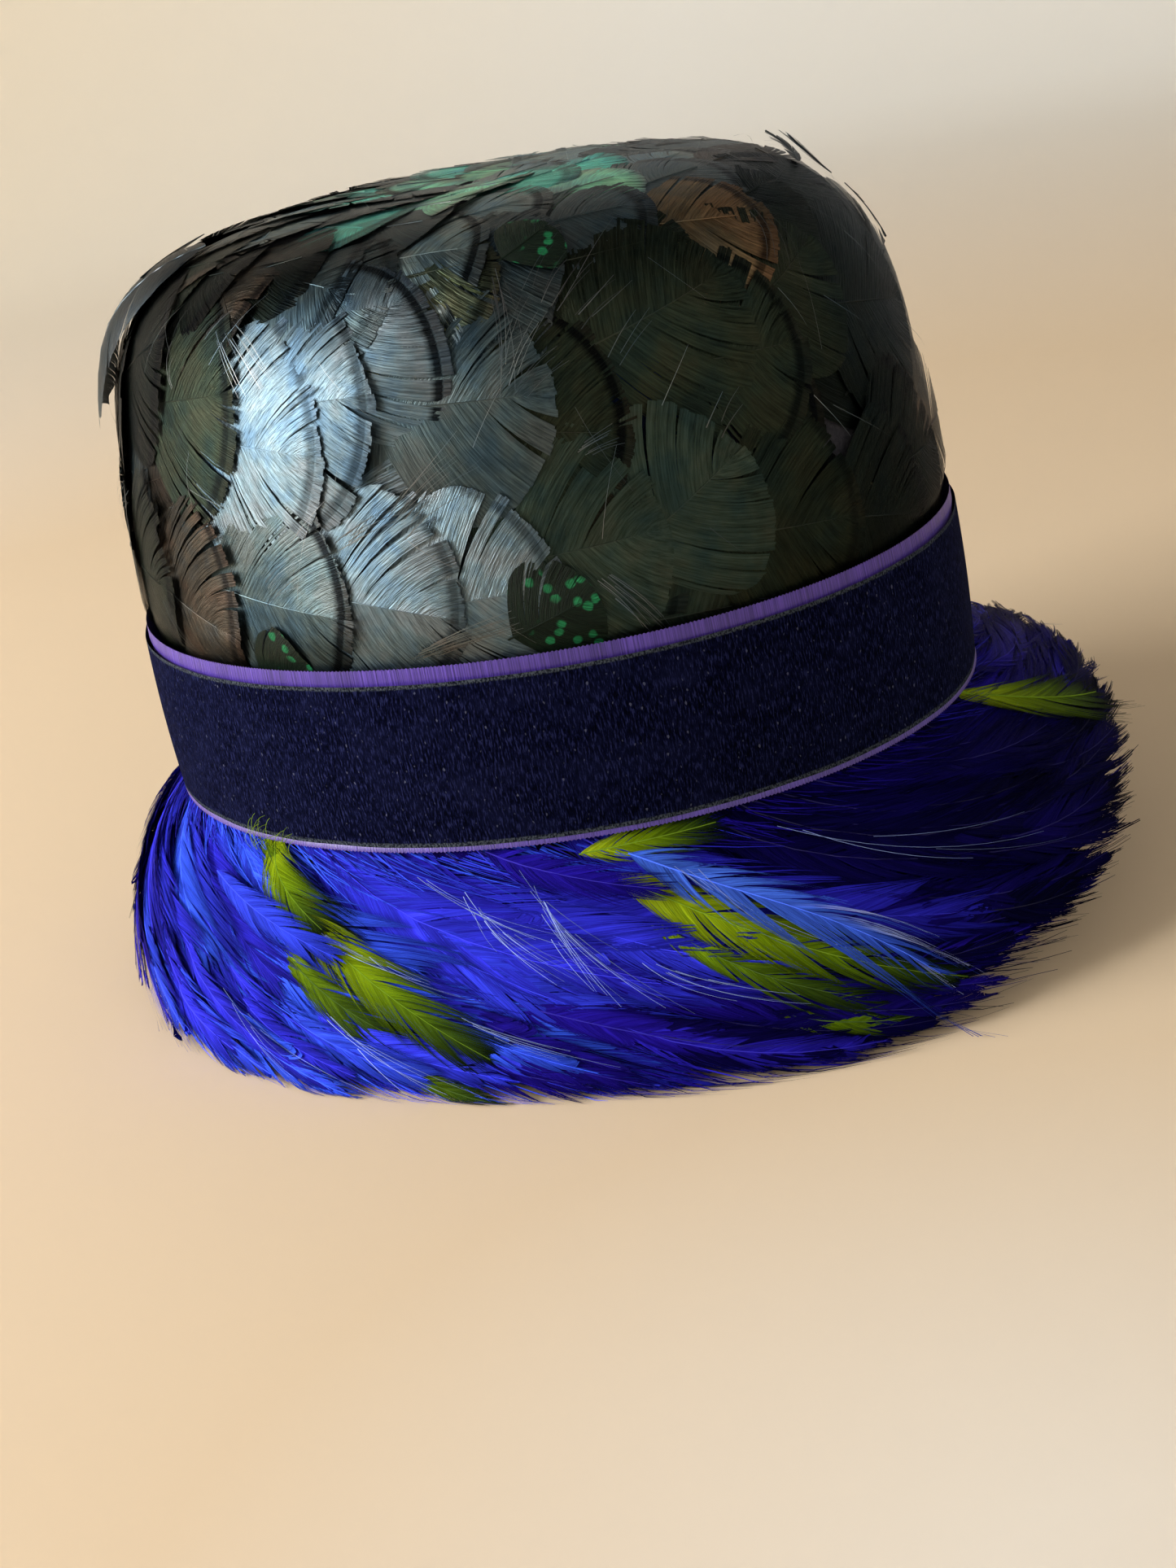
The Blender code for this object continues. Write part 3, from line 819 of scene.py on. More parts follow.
def build_hairs(finish):
    """Single barbs and bundles of barbs that have come loose from the fans on the crown, tinted pale as a
    painted glint.
    """
    rng = np.random.default_rng(SEEDS["loose"])
    grids = Grids()
    t = np.linspace(0, 1, 6)
    arch = np.sin(math.pi * t * 0.8)
    for _ in range(CROWN_HAIRS):
        angle, up = rng.uniform(-180, 180), rng.uniform(0.012, 0.100)
        turn = math.radians(rng.choice((-1, 1)) * rng.normal(58, 14))
        length = rng.uniform(0.006, 0.020)
        ahead = length * (t * math.cos(turn) + 0.12 * t * t) / crown_radius(up)
        lift = 0.0008 + rng.uniform(0.0002, 0.0012) * arch
        facing = on_crown(angle, up, 0.005) - on_crown(angle, up, 0.0)
        widths = rng.uniform(0.00008, 0.00018) * (1 - 0.7 * t)
        # Painted glint: the loose barb's tint is lighter than most fans
        tint = np.append(CROWN_BARB_PAINTED_GLINT * rng.uniform(0.2, 1.3), 0.0)
        grids.add_barb(on_crown, angle - np.degrees(ahead), up + length * t * math.sin(turn), lift,
                       widths, tint, NO_BAND, facing)
    for first_angle, first_up, last_angle, last_up, strands, breadth, glint_brightness in CROWN_LOCKS:
        radius = crown_radius(first_up)
        ahead, above = math.radians(first_angle - last_angle) * radius, last_up - first_up
        size = math.hypot(ahead, above)
        for place_in in np.linspace(-0.5, 0.5, strands):
            slip = rng.uniform(-0.15, 0.25)
            aside = breadth * (place_in + rng.normal(0, 0.08)) * (1 + rng.uniform(0.2, 0.8) * t)
            bow = (0.04 + rng.normal(0, 0.02)) * size * np.sin(math.pi * t)
            x = ahead * (t + slip) - above / size * (aside + bow)
            y = above * (t + slip) + ahead / size * (aside + bow)
            lift = 0.0012 + 0.0008 * arch + rng.uniform(0, 0.0003)
            widths = rng.uniform(0.00010, 0.00026) * (1 - 0.6 * t)
            # Painted glint: the bundle's tint is lighter than most fans
            tint = np.append(CROWN_BARB_PAINTED_GLINT * glint_brightness * rng.uniform(0.4, 1.1), 0.0)
            grids.add_barb(on_crown, first_angle - np.degrees(x / radius), first_up + y, lift,
                           widths, tint, NO_BAND)
    return grids.build("loose_barbs", finish)


class Path:
    """A line over a surface, with the directions along it, across it and off the surface."""

    def __init__(self, surface, angle, reach, lift, probe=PROBE):
        self.points = surface(angle, reach, lift)
        off = unit(surface(angle, reach, lift + probe) - self.points)
        steps = np.linalg.norm(np.diff(self.points, axis=0), axis=1)
        self.reach = np.concatenate([[0], np.cumsum(steps)])
        self.length = self.reach[-1]
        self.along = unit(np.gradient(self.points, self.reach, axis=0))
        self.across = unit(np.cross(self.along, off))
        self.up = unit(np.cross(self.across, self.along))

    def at(self, rows, s):
        """Rows of vectors read at distances along the path."""
        s = np.clip(s, 0, self.length)
        return np.stack([np.interp(s, self.reach, rows[:, k]) for k in range(3)], -1)

    def place(self, s, w, lift, camber=4.0):
        """Points at distances along, across and off the path, on a cambered vane."""
        past = s - np.clip(s, 0, self.length)
        sag = w ** 2 * camber
        points = self.at(self.points, s) + self.at(self.along, s) * past[..., None]
        points = points + self.at(self.across, s) * w[..., None]
        return points + self.at(self.up, s) * (lift - sag)[..., None]


def brim_path(quill_angle, quill_share, tip_angle, tip_share, bow, root_lift, tip_lift):
    """Path of a hackle over the brim, from its quill to its tip."""
    t = np.linspace(0, 1, 11)
    arch = np.sin(np.pi * t)
    angle = between(quill_angle, tip_angle, 0.8 * t + 0.2 * t * t) + bow * arch
    lift = between(root_lift, tip_lift, t) + 0.0006 * arch
    return Path(on_brim, angle, between(quill_share, tip_share, t), lift, BRIM_PROBE)


def clumps(count, size, rng):
    """Groups of neighbouring barbs, and the middle of each group from 0 to 1."""
    group = np.cumsum(rng.random(count) < 1 / size)
    total = group[-1] + 1
    number = np.maximum(np.bincount(group, None, total), 1)
    middle = np.bincount(group, (np.arange(count) + 0.5) / count, total) / number
    return group, total, middle[group]


def add_hackle(grids, path, width, barbs, tints, rng, clump=6, fray=1.0, leans=(21, 8), pale=0.0,
               roll=0.0, form=POINTED, camber=4.0, edge=0.35):
    """One slender feather along a path; tints gives its colour at shares of its length."""
    length = path.length
    u = np.linspace(0, 1, HACKLE_STEPS + 1)[None, :, None]
    shares = np.linspace(0, 1, len(tints))
    tints = np.array(tints)
    start = rng.uniform(0, 100)
    for side in (-1, 1):
        group, total, middle = clumps(barbs, clump, rng)
        number = np.arange(barbs)
        edges = np.stack([number, number + 1], -1)[:, None, :] / barbs
        close = fray * rng.uniform(0.3, 0.95, total)[group][:, None, None]
        t = 0.97 * (edges + (middle[:, None, None] - edges) * close * u ** 2.5)
        half = width / 2 * smooth(form, np.clip(t + 0.08, 0, 1))[..., 0]
        half = half * (1 + 0.12 * fray * rng.normal(0, 1, total)[group])[:, None, None]
        half = half * (1 + 0.05 * fray * rng.normal(0, 1, barbs))[:, None, None]
        lean = np.radians(between(*leans, t))
        slip = (1 + 0.10 * fray * rng.normal(0, 1, total))[group][:, None, None]
        along = t * length + half / np.tan(lean) * slip * u ** 1.1
        across = side * half * (1 - (1 - u) ** 1.5)
        curl = 0.0005 * rng.normal(0.2, 1, total)[group] + 0.00006 * rng.normal(0, 1, barbs)
        lift = roll * across + fray * curl[:, None, None] * u ** 2
        points = above_floor(path.place(along, across, lift, camber))
        where = np.clip(along / length, 0, 1)
        colour = np.stack([np.interp(where, shares, tints[:, k]) for k in range(3)], -1)
        shade = rng.uniform(0.75, 1.25, total)[group] * rng.uniform(0.85, 1.15, barbs)
        # Painted shade: each barb darkens toward its end, by edge, where the vanes meet the feathers round
        # them
        colour = colour * shade[:, None, None, None] * (1 - edge * u[..., None] ** 1.5)
        # Painted glints: a share, pale, of the clumps fade to a pale blue toward their ends
        painted_glint_mask = (rng.random(total)[group] < pale)[:, None, None, None] * fade(u, 0.1, 0.6)[..., None]
        colour = colour + (PAINTED_GLINT_CLUMP - colour) * painted_glint_mask
        colour = np.concatenate([colour, np.ones(colour.shape[:3] + (1,))], -1)
        turns = start + number[:, None, None] + np.array([0.0, 1.0])
        barb = np.stack(np.broadcast_arrays(u * 3, turns), -1)
        grids.add(points, barb, 1 - u, colour)
    s = np.linspace(0, 0.97, QUILL_ROWS)[:, None] * length
    w = np.array([-1.0, 0.0, 1.0]) * np.linspace(0.00020, 0.00006, QUILL_ROWS)[:, None]
    points = above_floor(path.place(s + 0 * w, w, np.array([0.0, 0.00025, 0.0]) + 0 * w))[None]
    quill = np.append(tints[len(tints) // 2] * 1.8 + 0.015, 1.0)
    grids.add(points, np.zeros(2), 0.5, quill)


def blue_tints(angle, share, rng):
    """Colours of one blue hackle from its root to its tip, by where it lies: its tone with painted light
    and shade round the hat, and a painted shade at the root where it lies under the others.
    """
    top, edge = smooth(TONES_WITH_PAINTED_LIGHT, angle, 360)
    tone = between(top, edge, min(max(share, 0), 1)) + rng.normal(0, 0.24)
    blues = np.array(BLUES)
    hue = np.array([np.interp(tone, blues[:, 0], blues[:, k]) for k in (1, 2, 3)])
    hue = hue * rng.uniform(0.85, 1.15)
    # Painted shade at the root, under the other hackles; dimmer toward the tip
    return (hue * 0.8, hue, hue * 0.95, hue * 0.65)


def build_brim_row(row, seed, finish):
    """One row of blue hackles right round the brim."""
    name, count, roots, tips, width, lifts, barbs, roll = row
    rng = np.random.default_rng(seed)
    grids = Grids()
    for i in range(count):
        angle = 360 * (i + rng.uniform(-0.35, 0.35)) / count
        root = rng.uniform(*roots)
        tip = rng.uniform(*tips)
        sweep = sweep_at(angle) * (tip - max(root, 0)) * rng.uniform(0.8, 1.2)
        tip *= brim_end(angle - sweep)
        raised = rng.normal(0, 0.00025)
        path = brim_path(angle, root, angle - sweep, tip, rng.normal(1.0, 2.0),
                         lifts[0] + raised, lifts[1] + raised)
        size = width * rng.uniform(0.8, 1.2)
        tints = blue_tints(angle - sweep / 2, (root + tip) / 2, rng)
        add_hackle(grids, path, size, barbs, tints, rng, roll=roll + rng.normal(0, 0.03))
    if name == "over":
        for *ends, size, bow in COVER_HACKLES:
            path = brim_path(*ends, bow, *COVER_LIFTS)
            tints = blue_tints(ends[0] - 10, 0.2, rng)
            add_hackle(grids, path, size, barbs, tints, rng, roll=roll, edge=0.2)
        *ends, width, bow = PALE_HACKLE
        path = brim_path(*ends, bow, *PALE_LIFTS)
        add_hackle(grids, path, width, GREEN_BARBS, PALE_TINTS, rng, clump=4, fray=2.0, pale=0.14,
                   leans=(17, 6), edge=0.2)
    return grids.build(f"brim_plumage_{name}", finish)


def build_painted_glints(finish):
    """Loose barbs over the blue hackles, tinted pale as a painted glint."""
    rng = np.random.default_rng(SEEDS["glints"])
    grids = Grids()
    t = np.linspace(0, 1, 10)
    for angle, share, last_angle, last_share, strands, spread in PAINTED_GLINT_BUNDLES:
        for _ in range(strands):
            first = rng.uniform(0.0, 0.5)
            end = rng.uniform(first + 0.25, 1.0)
            turn = angle + rng.normal(0, 0.3) + (last_angle - angle) * t
            turn += rng.normal(0, spread) * (t - 0.2) + rng.uniform(0.5, 2.5) * np.sin(math.pi * t)
            reach = share + (last_share - share) * t + rng.normal(0, 0.02) * t
            x = between(first, end, t)
            lift = 0.0022 + rng.uniform(0.0, 0.0010) + 0 * t
            widths = rng.uniform(0.00007, 0.00017) * (1 - 0.7 * t)
            # Painted glint: a pale tint on the loose barb
            tint = np.append(PAINTED_GLINT_TINT * rng.uniform(0.25, 1.0), 1.0)
            grids.add_barb(on_brim, np.interp(x, t, turn), np.interp(x, t, reach), lift, widths, tint)
    return grids.build("painted_glint_barbs", finish)


def build_root_barbs(finish):
    """Soft barbs at the hackles' feet, just under the ribbon."""
    rng = np.random.default_rng(SEEDS["roots"])
    grids = Grids()
    t = np.linspace(0, 1, 6)
    for i in range(ROOT_BARBS):
        angle = 360 * (i + rng.random()) / ROOT_BARBS
        last = rng.uniform(0.08, 0.24)
        turn = angle - sweep_at(angle) * last * rng.uniform(0.7, 1.9) * t + rng.normal(0, 0.6) * t * t
        lift = 0.0002 + rng.uniform(0.0006, 0.0018) * t
        widths = rng.uniform(0.0002, 0.0006) * (1 - 0.8 * t)
        tint = np.append(blue_tints(angle, 0.0, rng)[1] * rng.uniform(0.5, 1.2), 1.0)
        grids.add_barb(on_brim, turn, -0.03 + (last + 0.03) * t, lift, widths, tint)
    return grids.build("root_barbs", finish)


def build_edge_barbs(finish):
    """Fine barb ends that stand out past the hackles all round the brim."""
    rng = np.random.default_rng(SEEDS["edge"])
    grids = Grids()
    t = np.linspace(0, 1, 7)
    for i in range(EDGE_BARBS):
        angle = 360 * (i + rng.random()) / EDGE_BARBS
        end = brim_end(angle)
        long = rng.random() < 0.15
        first = end * rng.uniform(*((0.60, 0.80) if long else (0.72, 0.94)))
        last = end * rng.uniform(*((1.05, 1.12) if long else (0.98, 1.09)))
        sweep = sweep_at(angle) * (last - first) * rng.uniform(0.8, 1.5)
        turn = angle + sweep * (1 - t) + rng.normal(0, 0.8) * t * t
        lift = rng.uniform(-0.0015, 0.0012) + 0.0012 * t
        widths = rng.uniform(0.00016, 0.00045) * (1 - 0.8 * t)
        tint = np.append(blue_tints(angle, 0.9, rng)[1] * rng.uniform(0.6, 1.5), 1.0)
        grids.add_barb(on_brim, turn, between(first, last, t), lift, widths, tint)
    return grids.build("edge_barbs", finish)


def add_green_fuzz(grids, rng):
    """Fine barbs at the foot of the first green hackle that curl up over the velvet."""
    t = np.linspace(0, 1, 8)
    for _ in range(GREEN_FUZZ):
        start = rng.uniform(112, 121)
        tall = rng.uniform(0.003, 0.010)
        turn = start - rng.uniform(0.5, 3.5) * t ** 1.5 + rng.normal(0, 0.8) * t
        out = 0.0008 + 0.0010 * np.sin(math.pi * t) + rng.uniform(0, 0.0008)
        widths = rng.uniform(0.00014, 0.00028) * (1 - 0.6 * t)
        tint = np.append(np.array(GREEN_TINTS[2]) * rng.uniform(0.3, 1.2), 1.0)
        grids.add_barb(place, turn, BRIM_TOP - 0.002 + tall * np.sin(1.4 * t), out, widths, tint)


def build_green_hackle(number, row, finish):
    """One yellow-green hackle with a dark tip."""
    *ends, width, bow = row
    rng = np.random.default_rng(SEEDS["green"] + number)
    grids = Grids()
    path = brim_path(*ends, bow, *GREEN_LIFTS)
    add_hackle(grids, path, width, GREEN_BARBS, GREEN_TINTS, rng, fray=0.9, leans=(22, 9), edge=0.8)
    for main_hackle, *ends, slim in GREEN_ENDS:
        if main_hackle == number:
            path = brim_path(*ends, 0.5, *END_LIFTS)
            add_hackle(grids, path, slim, END_BARBS, GREEN_TINTS[2:], rng, leans=(18, 7), edge=0.8)
    if number == 1:
        add_green_fuzz(grids, rng)
    obj = grids.build(f"green_plume_{number}", finish)
    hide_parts(f"green_hackle_{number}")
    return obj


def build_shoulder_feather(finish):
    """The dark crown feather that stands off at the back shoulder."""
    rng = np.random.default_rng(SEEDS["shoulder"])
    rows = np.array(SHOULDER_FEATHER)
    t = np.linspace(0, 1, 11)
    angle, share, lift = smooth(np.column_stack([np.linspace(0, 1, len(rows)), rows]), t).T
    path = Path(on_crown, angle, CROWN_FOOT + share * CROWN_LENGTH, lift)
    grids = Grids()
    add_hackle(grids, path, SHOULDER_WIDTH, SHOULDER_BARBS, SHOULDER_TINTS, rng, clump=30, fray=0.15,
               form=BLUNT, camber=17.0, leans=(46, 66), roll=0.10, edge=0.0)
    return grids.build("shoulder_plume", finish)


def build_slivers(finish):
    """Slender feathers whose ends stand off the crown's shoulders."""
    rng = np.random.default_rng(SEEDS["slivers"])
    grids = Grids()
    t = np.linspace(0, 1, 9)
    for first_angle, first_up, last_angle, last_up, tip_lift, width in SLIVERS:
        angle, up = between(first_angle, last_angle, t), between(first_up, last_up, t)
        path = Path(on_crown, angle, up, between(0.0010, tip_lift, t ** 2))
        add_hackle(grids, path, width, SLIVER_BARBS, SLIVER_TINTS, rng, clump=8, fray=0.5,
                   leans=(24, 10), edge=0.0)
    return grids.build("sliver_plumes", finish)


def build_band(name, outs, heights, columns, finish, wave=0.0, teeth=0.0):
    """Ribbon round the head oval, from the rows of its section; its edges may have teeth."""
    angle = np.linspace(0, 360, columns + 1)
    turn = np.radians(angle)
    heights = np.array(heights)[:, None] + 0 * angle
    rise = (heights - heights[0]) / (heights[-1] - heights[0])
    tooth = teeth * (1 - np.cos(turn * columns / 4)) / 2
    heights[0] += tooth
    heights[-1] -= tooth
    swell = wave * sum(share * np.sin(number * turn + phase) for number, phase, share in WAVES)
    points = place(angle[None, :], heights, np.array(outs)[:, None] + swell)[None]
    barb = np.stack(np.broadcast_arrays(turn[None, None, :] * MEAN_RADIUS * 100, rise[None]), -1)
    grids = Grids()
    grids.add(points, barb, rise[None], np.ones(4))
    return weld(grids.build(name, finish))


def weld(obj):
    """Joins points that lie in one place, such as the ends of a ring."""
    modifier = obj.modifiers.new("Weld", "WELD")
    modifier.merge_threshold = 0.00001
    return obj


class Finish:
    """A Principled material that is put together node by node."""

    def __init__(self, name, **values):
        self.material = bpy.data.materials.new(name)
        self.material.use_nodes = True
        self.tree = self.material.node_tree
        self.shader = self.tree.nodes["Principled BSDF"]
        self.set(**values)

    def set(self, **inputs):
        """Values, or other nodes' sockets, on the shader's own inputs."""
        for name, value in inputs.items():
            self.put(self.shader.inputs[name.replace("_", " ")], value)

    def add(self, kind, settings=None, **inputs):
        """A node with its settings, and with values or other nodes' sockets on its inputs."""
        made = self.tree.nodes.new(kind)
        for name, value in (settings or {}).items():
            setattr(made, name, value)
        for name, value in inputs.items():
            key = int(name[1:]) if name[0] == "i" and name[1:].isdigit() else name.replace("_", " ")
            self.put(made.inputs[key], value)
        return made

    def put(self, socket, value):
        """A value or a link on an input."""
        if isinstance(value, bpy.types.NodeSocket):
            self.tree.links.new(value, socket)
        else:
            socket.default_value = value

    def attribute(self, name, output="Color"):
        """An attribute of the mesh."""
        return self.add("ShaderNodeAttribute", {"attribute_name": name}).outputs[output]

    def math(self, operation, first, second):
        """A sum, product or the like of two numbers."""
        return self.add("ShaderNodeMath", {"operation": operation}, i0=first, i1=second).outputs[0]

    def noise(self, vector, scale, detail=2.0, roughness=0.5):
        """Noise whose grain is scaled apart along each axis."""
        moved = self.add("ShaderNodeMapping", Vector=vector, Scale=scale).outputs[0]
        made = self.add("ShaderNodeTexNoise", Vector=moved, Scale=1.0, Detail=detail, Roughness=roughness)
        return made.outputs["Fac"]

    def ramp(self, factor, stops):
        """Colours or greys along a factor."""
        made = self.add("ShaderNodeValToRGB", Fac=factor)
        elements = made.color_ramp.elements
        while len(elements) < len(stops):
            elements.new(1.0)
        for element, (position, colour) in zip(elements, stops):
            element.position = position
            grey = isinstance(colour, (int, float))
            element.color = (colour, colour, colour, 1) if grey else (*colour, 1)
        return made.outputs["Color"]

    def mix(self, factor, first, second, blend="MIX"):
        """Two colours mixed."""
        settings = {"data_type": "RGBA", "blend_type": blend}
        return self.add("ShaderNodeMix", settings, i0=factor, i6=first, i7=second).outputs[2]

    def times(self, first, second):
        """The product of two colours."""
        return self.mix(1.0, first, second, "MULTIPLY")

    def bump(self, height, strength, distance):
        """Relief on the surface."""
        made = self.add("ShaderNodeBump", Height=height, Strength=strength, Distance=distance)
        self.set(Normal=made.outputs[0])

    def comb(self):
        """Stretches the highlight across the barbs."""
        made = self.add("ShaderNodeTangent", {"direction_type": "UV_MAP", "uv_map": "barb"})
        self.set(Tangent=made.outputs[0])

    def uv(self, name="barb"):
        """A texture map."""
        return self.add("ShaderNodeUVMap", {"uv_map": name}).outputs[0]

    def place(self):
        """Where a point is, in metres."""
        return self.add("ShaderNodeTexCoord").outputs["Object"]


def crown_finish():
    """Flat iridescent feathers: dark and glossy, with a black and a grey band near the rim."""
    finish = Finish("crown_feather", Metallic=1.0, Anisotropic=0.35, Specular_Tint=(0.62, 0.64, 0.68, 1.0))
    barb = finish.uv()
    grain = finish.noise(barb, (0.5, 1.1, 1.0), 4.0, 0.7)
    wobble = finish.math("MULTIPLY", finish.math("SUBTRACT", grain, 0.5), 0.0012)
    # Distance from the rim in centimetres, for the bands
    depth = finish.math("MULTIPLY", finish.math("ADD", finish.attribute("rim", "Fac"), wobble), 100.0)
    tint = finish.attribute("tint")
    dull = finish.times(tint, (0.46, 0.42, 0.42, 1.0))
    outer = finish.mix(1.0, dull, (0.004, 0.003, 0.003, 1.0), "ADD")
    outer = finish.mix(finish.ramp(depth, ((0.0, 0.8), (0.07, 0.0))), outer, (0.002, 0.002, 0.002, 1.0))
    stripe = finish.ramp(depth, ((0.22, 0.0), (0.28, 0.94), (0.40, 0.92), (0.54, 0.0)))
    banded = finish.mix(finish.ramp(depth, ((0.22, 1.0), (0.26, 0.0))), tint, outer)
    banded = finish.mix(stripe, banded, (0.001, 0.001, 0.002, 1.0))
    banded = finish.mix(finish.attribute("tint", "Alpha"), tint, banded)
    pearl = finish.noise(finish.place(), (75, 75, 75), 3.0, 0.65)
    hue = finish.ramp(pearl, ((0.36, (0.62, 0.78, 0.95)), (0.50, (0.95, 1.0, 1.0)),
                              (0.62, (1.12, 1.0, 0.95))))
    streak = finish.ramp(grain, ((0.32, 0.50), (0.68, 1.50)))
    finish.set(Base_Color=finish.times(finish.times(banded, streak), hue),
               Roughness=finish.ramp(grain, ((0.3, 0.30), (0.7, 0.44))))
    finish.bump(finish.noise(barb, (0.3, 1.3, 1.0), 3.0, 0.7), 0.45, 0.0006)
    finish.comb()
    return finish.material


def spotted_finish():
    """Dark green feather with bright green dots."""
    finish = Finish("spotted_feather", Roughness=0.5, Specular_IOR_Level=0.10)
    vane = finish.uv("vane")
    dots = finish.add("ShaderNodeTexVoronoi", {"voronoi_dimensions": "2D"}, Vector=vane, Scale=2.6,
                      Randomness=0.9)
    uneven = finish.math("SUBTRACT", finish.noise(vane, (5, 5, 1), 1.0), 0.5)
    reach = finish.math("ADD", dots.outputs["Distance"], finish.math("MULTIPLY", uneven, 0.30))
    crowd = finish.ramp(finish.noise(vane, (0.9, 0.9, 1), 1.0), ((0.46, 0.0), (0.54, 1.0)))
    spot = finish.math("MULTIPLY", finish.ramp(reach, ((0.20, 1.0), (0.30, 0.0))), crowd)
    grain = finish.noise(finish.uv(), (0.8, 2.2, 1.0), 2.0, 0.6)
    dark = finish.ramp(grain, ((0.35, (0.001, 0.003, 0.002)), (0.70, (0.006, 0.015, 0.008))))
    green = finish.ramp(grain, ((0.35, (0.003, 0.055, 0.020)), (0.65, (0.015, 0.180, 0.070))))
    finish.set(Base_Color=finish.mix(spot, dark, green))
    finish.bump(grain, 0.5, 0.0005)
    return finish.material


def hackle_finish(name, dark, light, sheen):
    """Dyed hackles: silky barbs with fine darker streaks, a painted shade between the barbs."""
    finish = Finish(name, Roughness=0.40, Specular_IOR_Level=0.01, Anisotropic=0.6,
                    Specular_Tint=(0.45, 0.60, 1.0, 1.0),
                    Sheen_Weight=0.015, Sheen_Roughness=0.35, Sheen_Tint=sheen)
    barb = finish.uv()
    fine = finish.noise(barb, (0.5, 1.5, 1.0), 3.0, 0.65)
    streak = finish.ramp(fine, ((0.30, dark), (0.70, light)))
    shade = finish.ramp(finish.noise(barb, (0.3, 0.22, 1.0)), ((0.32, 0.70), (0.68, 1.30)))
    finish.set(Base_Color=finish.times(finish.times(finish.attribute("tint"), streak), shade))
    finish.bump(fine, 0.6, 0.0006)
    finish.comb()
    return finish.material


def velvet_finish():
    """Midnight-blue velvet: short upright pile, dust and a woven edge."""
    finish = Finish("velvet", Roughness=0.95, Specular_IOR_Level=0.01, Sheen_Weight=0.03,
                    Sheen_Roughness=0.45, Sheen_Tint=(0.25, 0.32, 0.80, 1.0))
    barb = finish.uv()
    pile = finish.noise(barb, (26, 17, 1), 2.0, 0.7)
    nap = finish.noise(barb, (0.9, 4.0, 1), 4.0, 0.65)
    lint = finish.noise(barb, (14, 30, 1), 0.0, 0.0)
    base = finish.ramp(pile, ((0.36, (0.0004, 0.0005, 0.003)), (0.52, (0.0016, 0.0020, 0.012)),
                              (0.68, (0.014, 0.017, 0.066))))
    # Lighter blue patches in the pile, placed by noise
    lighter_nap_patches = finish.mix(finish.ramp(nap, ((0.45, 0.0), (0.80, 0.45))), base, (0.008, 0.010, 0.040, 1.0))
    flecks = finish.mix(finish.ramp(lint, ((0.76, 0.0), (0.84, 0.5))), lighter_nap_patches, (0.10, 0.11, 0.18, 1.0))
    edge = finish.ramp(finish.attribute("rim", "Fac"),
                       ((0.0, 1.0), (0.022, 1.0), (0.030, 0.0), (0.972, 0.0), (0.980, 1.0)))
    cord = finish.noise(barb, (24, 60, 1), 1.0, 0.6)
    ticks = finish.ramp(cord, ((0.40, (0.006, 0.007, 0.012)), (0.62, (0.050, 0.062, 0.080))))
    finish.set(Base_Color=finish.mix(edge, flecks, ticks))
    finish.bump(pile, 0.35, 0.0006)
    return finish.material


def satin_finish():
    """Violet satin with fine woven ribs."""
    finish = Finish("satin", Roughness=0.40, Specular_IOR_Level=0.5, Anisotropic=0.5,
                    Sheen_Weight=0.10, Sheen_Tint=(0.6, 0.5, 1.0, 1.0))
    barb = finish.uv()
    ribs = finish.noise(barb, (26.0, 1.2, 1.0), 1.0)
    colour = finish.ramp(ribs, ((0.35, (0.026, 0.011, 0.150)), (0.65, (0.084, 0.044, 0.360))))
    shade = finish.ramp(finish.noise(barb, (1.2, 0.5, 1.0)), ((0.3, 0.75), (0.7, 1.2)))
    finish.set(Base_Color=finish.times(colour, shade))
    finish.bump(ribs, 0.5, 0.0004)
    return finish.material


def felt_finish():
    """Matt near-black fur felt."""
    finish = Finish("felt", Roughness=0.95, Specular_IOR_Level=0.2, Sheen_Weight=0.12,
                    Sheen_Tint=(0.6, 0.6, 0.7, 1.0))
    where = finish.place()
    fuzz = finish.noise(where, (900, 900, 900), 4.0, 0.7)
    cloud = finish.ramp(finish.noise(where, (60, 60, 60), 3.0, 0.6), ((0.4, 0.0), (0.7, 0.4)))
    colour = finish.ramp(fuzz, ((0.3, (0.006, 0.006, 0.009)), (0.7, (0.028, 0.028, 0.036))))
    finish.set(Base_Color=finish.mix(cloud, colour, (0.03, 0.03, 0.04, 1.0)))
    finish.bump(fuzz, 0.5, 0.0006)
    return finish.material


def build_felt(finish):
    """Felt body with its facets smoothed."""
    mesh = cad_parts["felt_body"].data.copy()
    mesh.name = "felt_shell"
    mesh.materials.clear()
    mesh.materials.append(finish)
    mesh.shade_smooth()
    obj = weld(add_object("felt_shell", mesh))
    modifier = obj.modifiers.new("Smooth", "SUBSURF")
    modifier.levels = 1
    modifier.render_levels = 1
    return obj


def build_stage(finish):
    """Pale floor that curves up into a wall all round."""
    flat_parts, bend_parts, round_parts = FLOOR_PARTS
    flat = np.linspace(0, FLOOR_RADIUS, flat_parts + 1)
    bend = np.radians(np.linspace(0, 90, bend_parts + 1)[1:])
    wall = FLOOR_RADIUS + FLOOR_BEND
    radius = np.concatenate([flat, FLOOR_RADIUS + FLOOR_BEND * np.sin(bend), [wall]])[:, None]
    height = np.concatenate([0 * flat, FLOOR_BEND * (1 - np.cos(bend)), [WALL_TOP]])[:, None]
    turn = np.linspace(0, 2 * math.pi, round_parts + 1)
    points = np.stack(np.broadcast_arrays(radius * np.cos(turn), radius * np.sin(turn), height), -1)
    grids = Grids()
    grids.add(points[None], np.zeros(2), 0.0, np.ones(4))
    obj = weld(grids.build("studio_floor", finish))


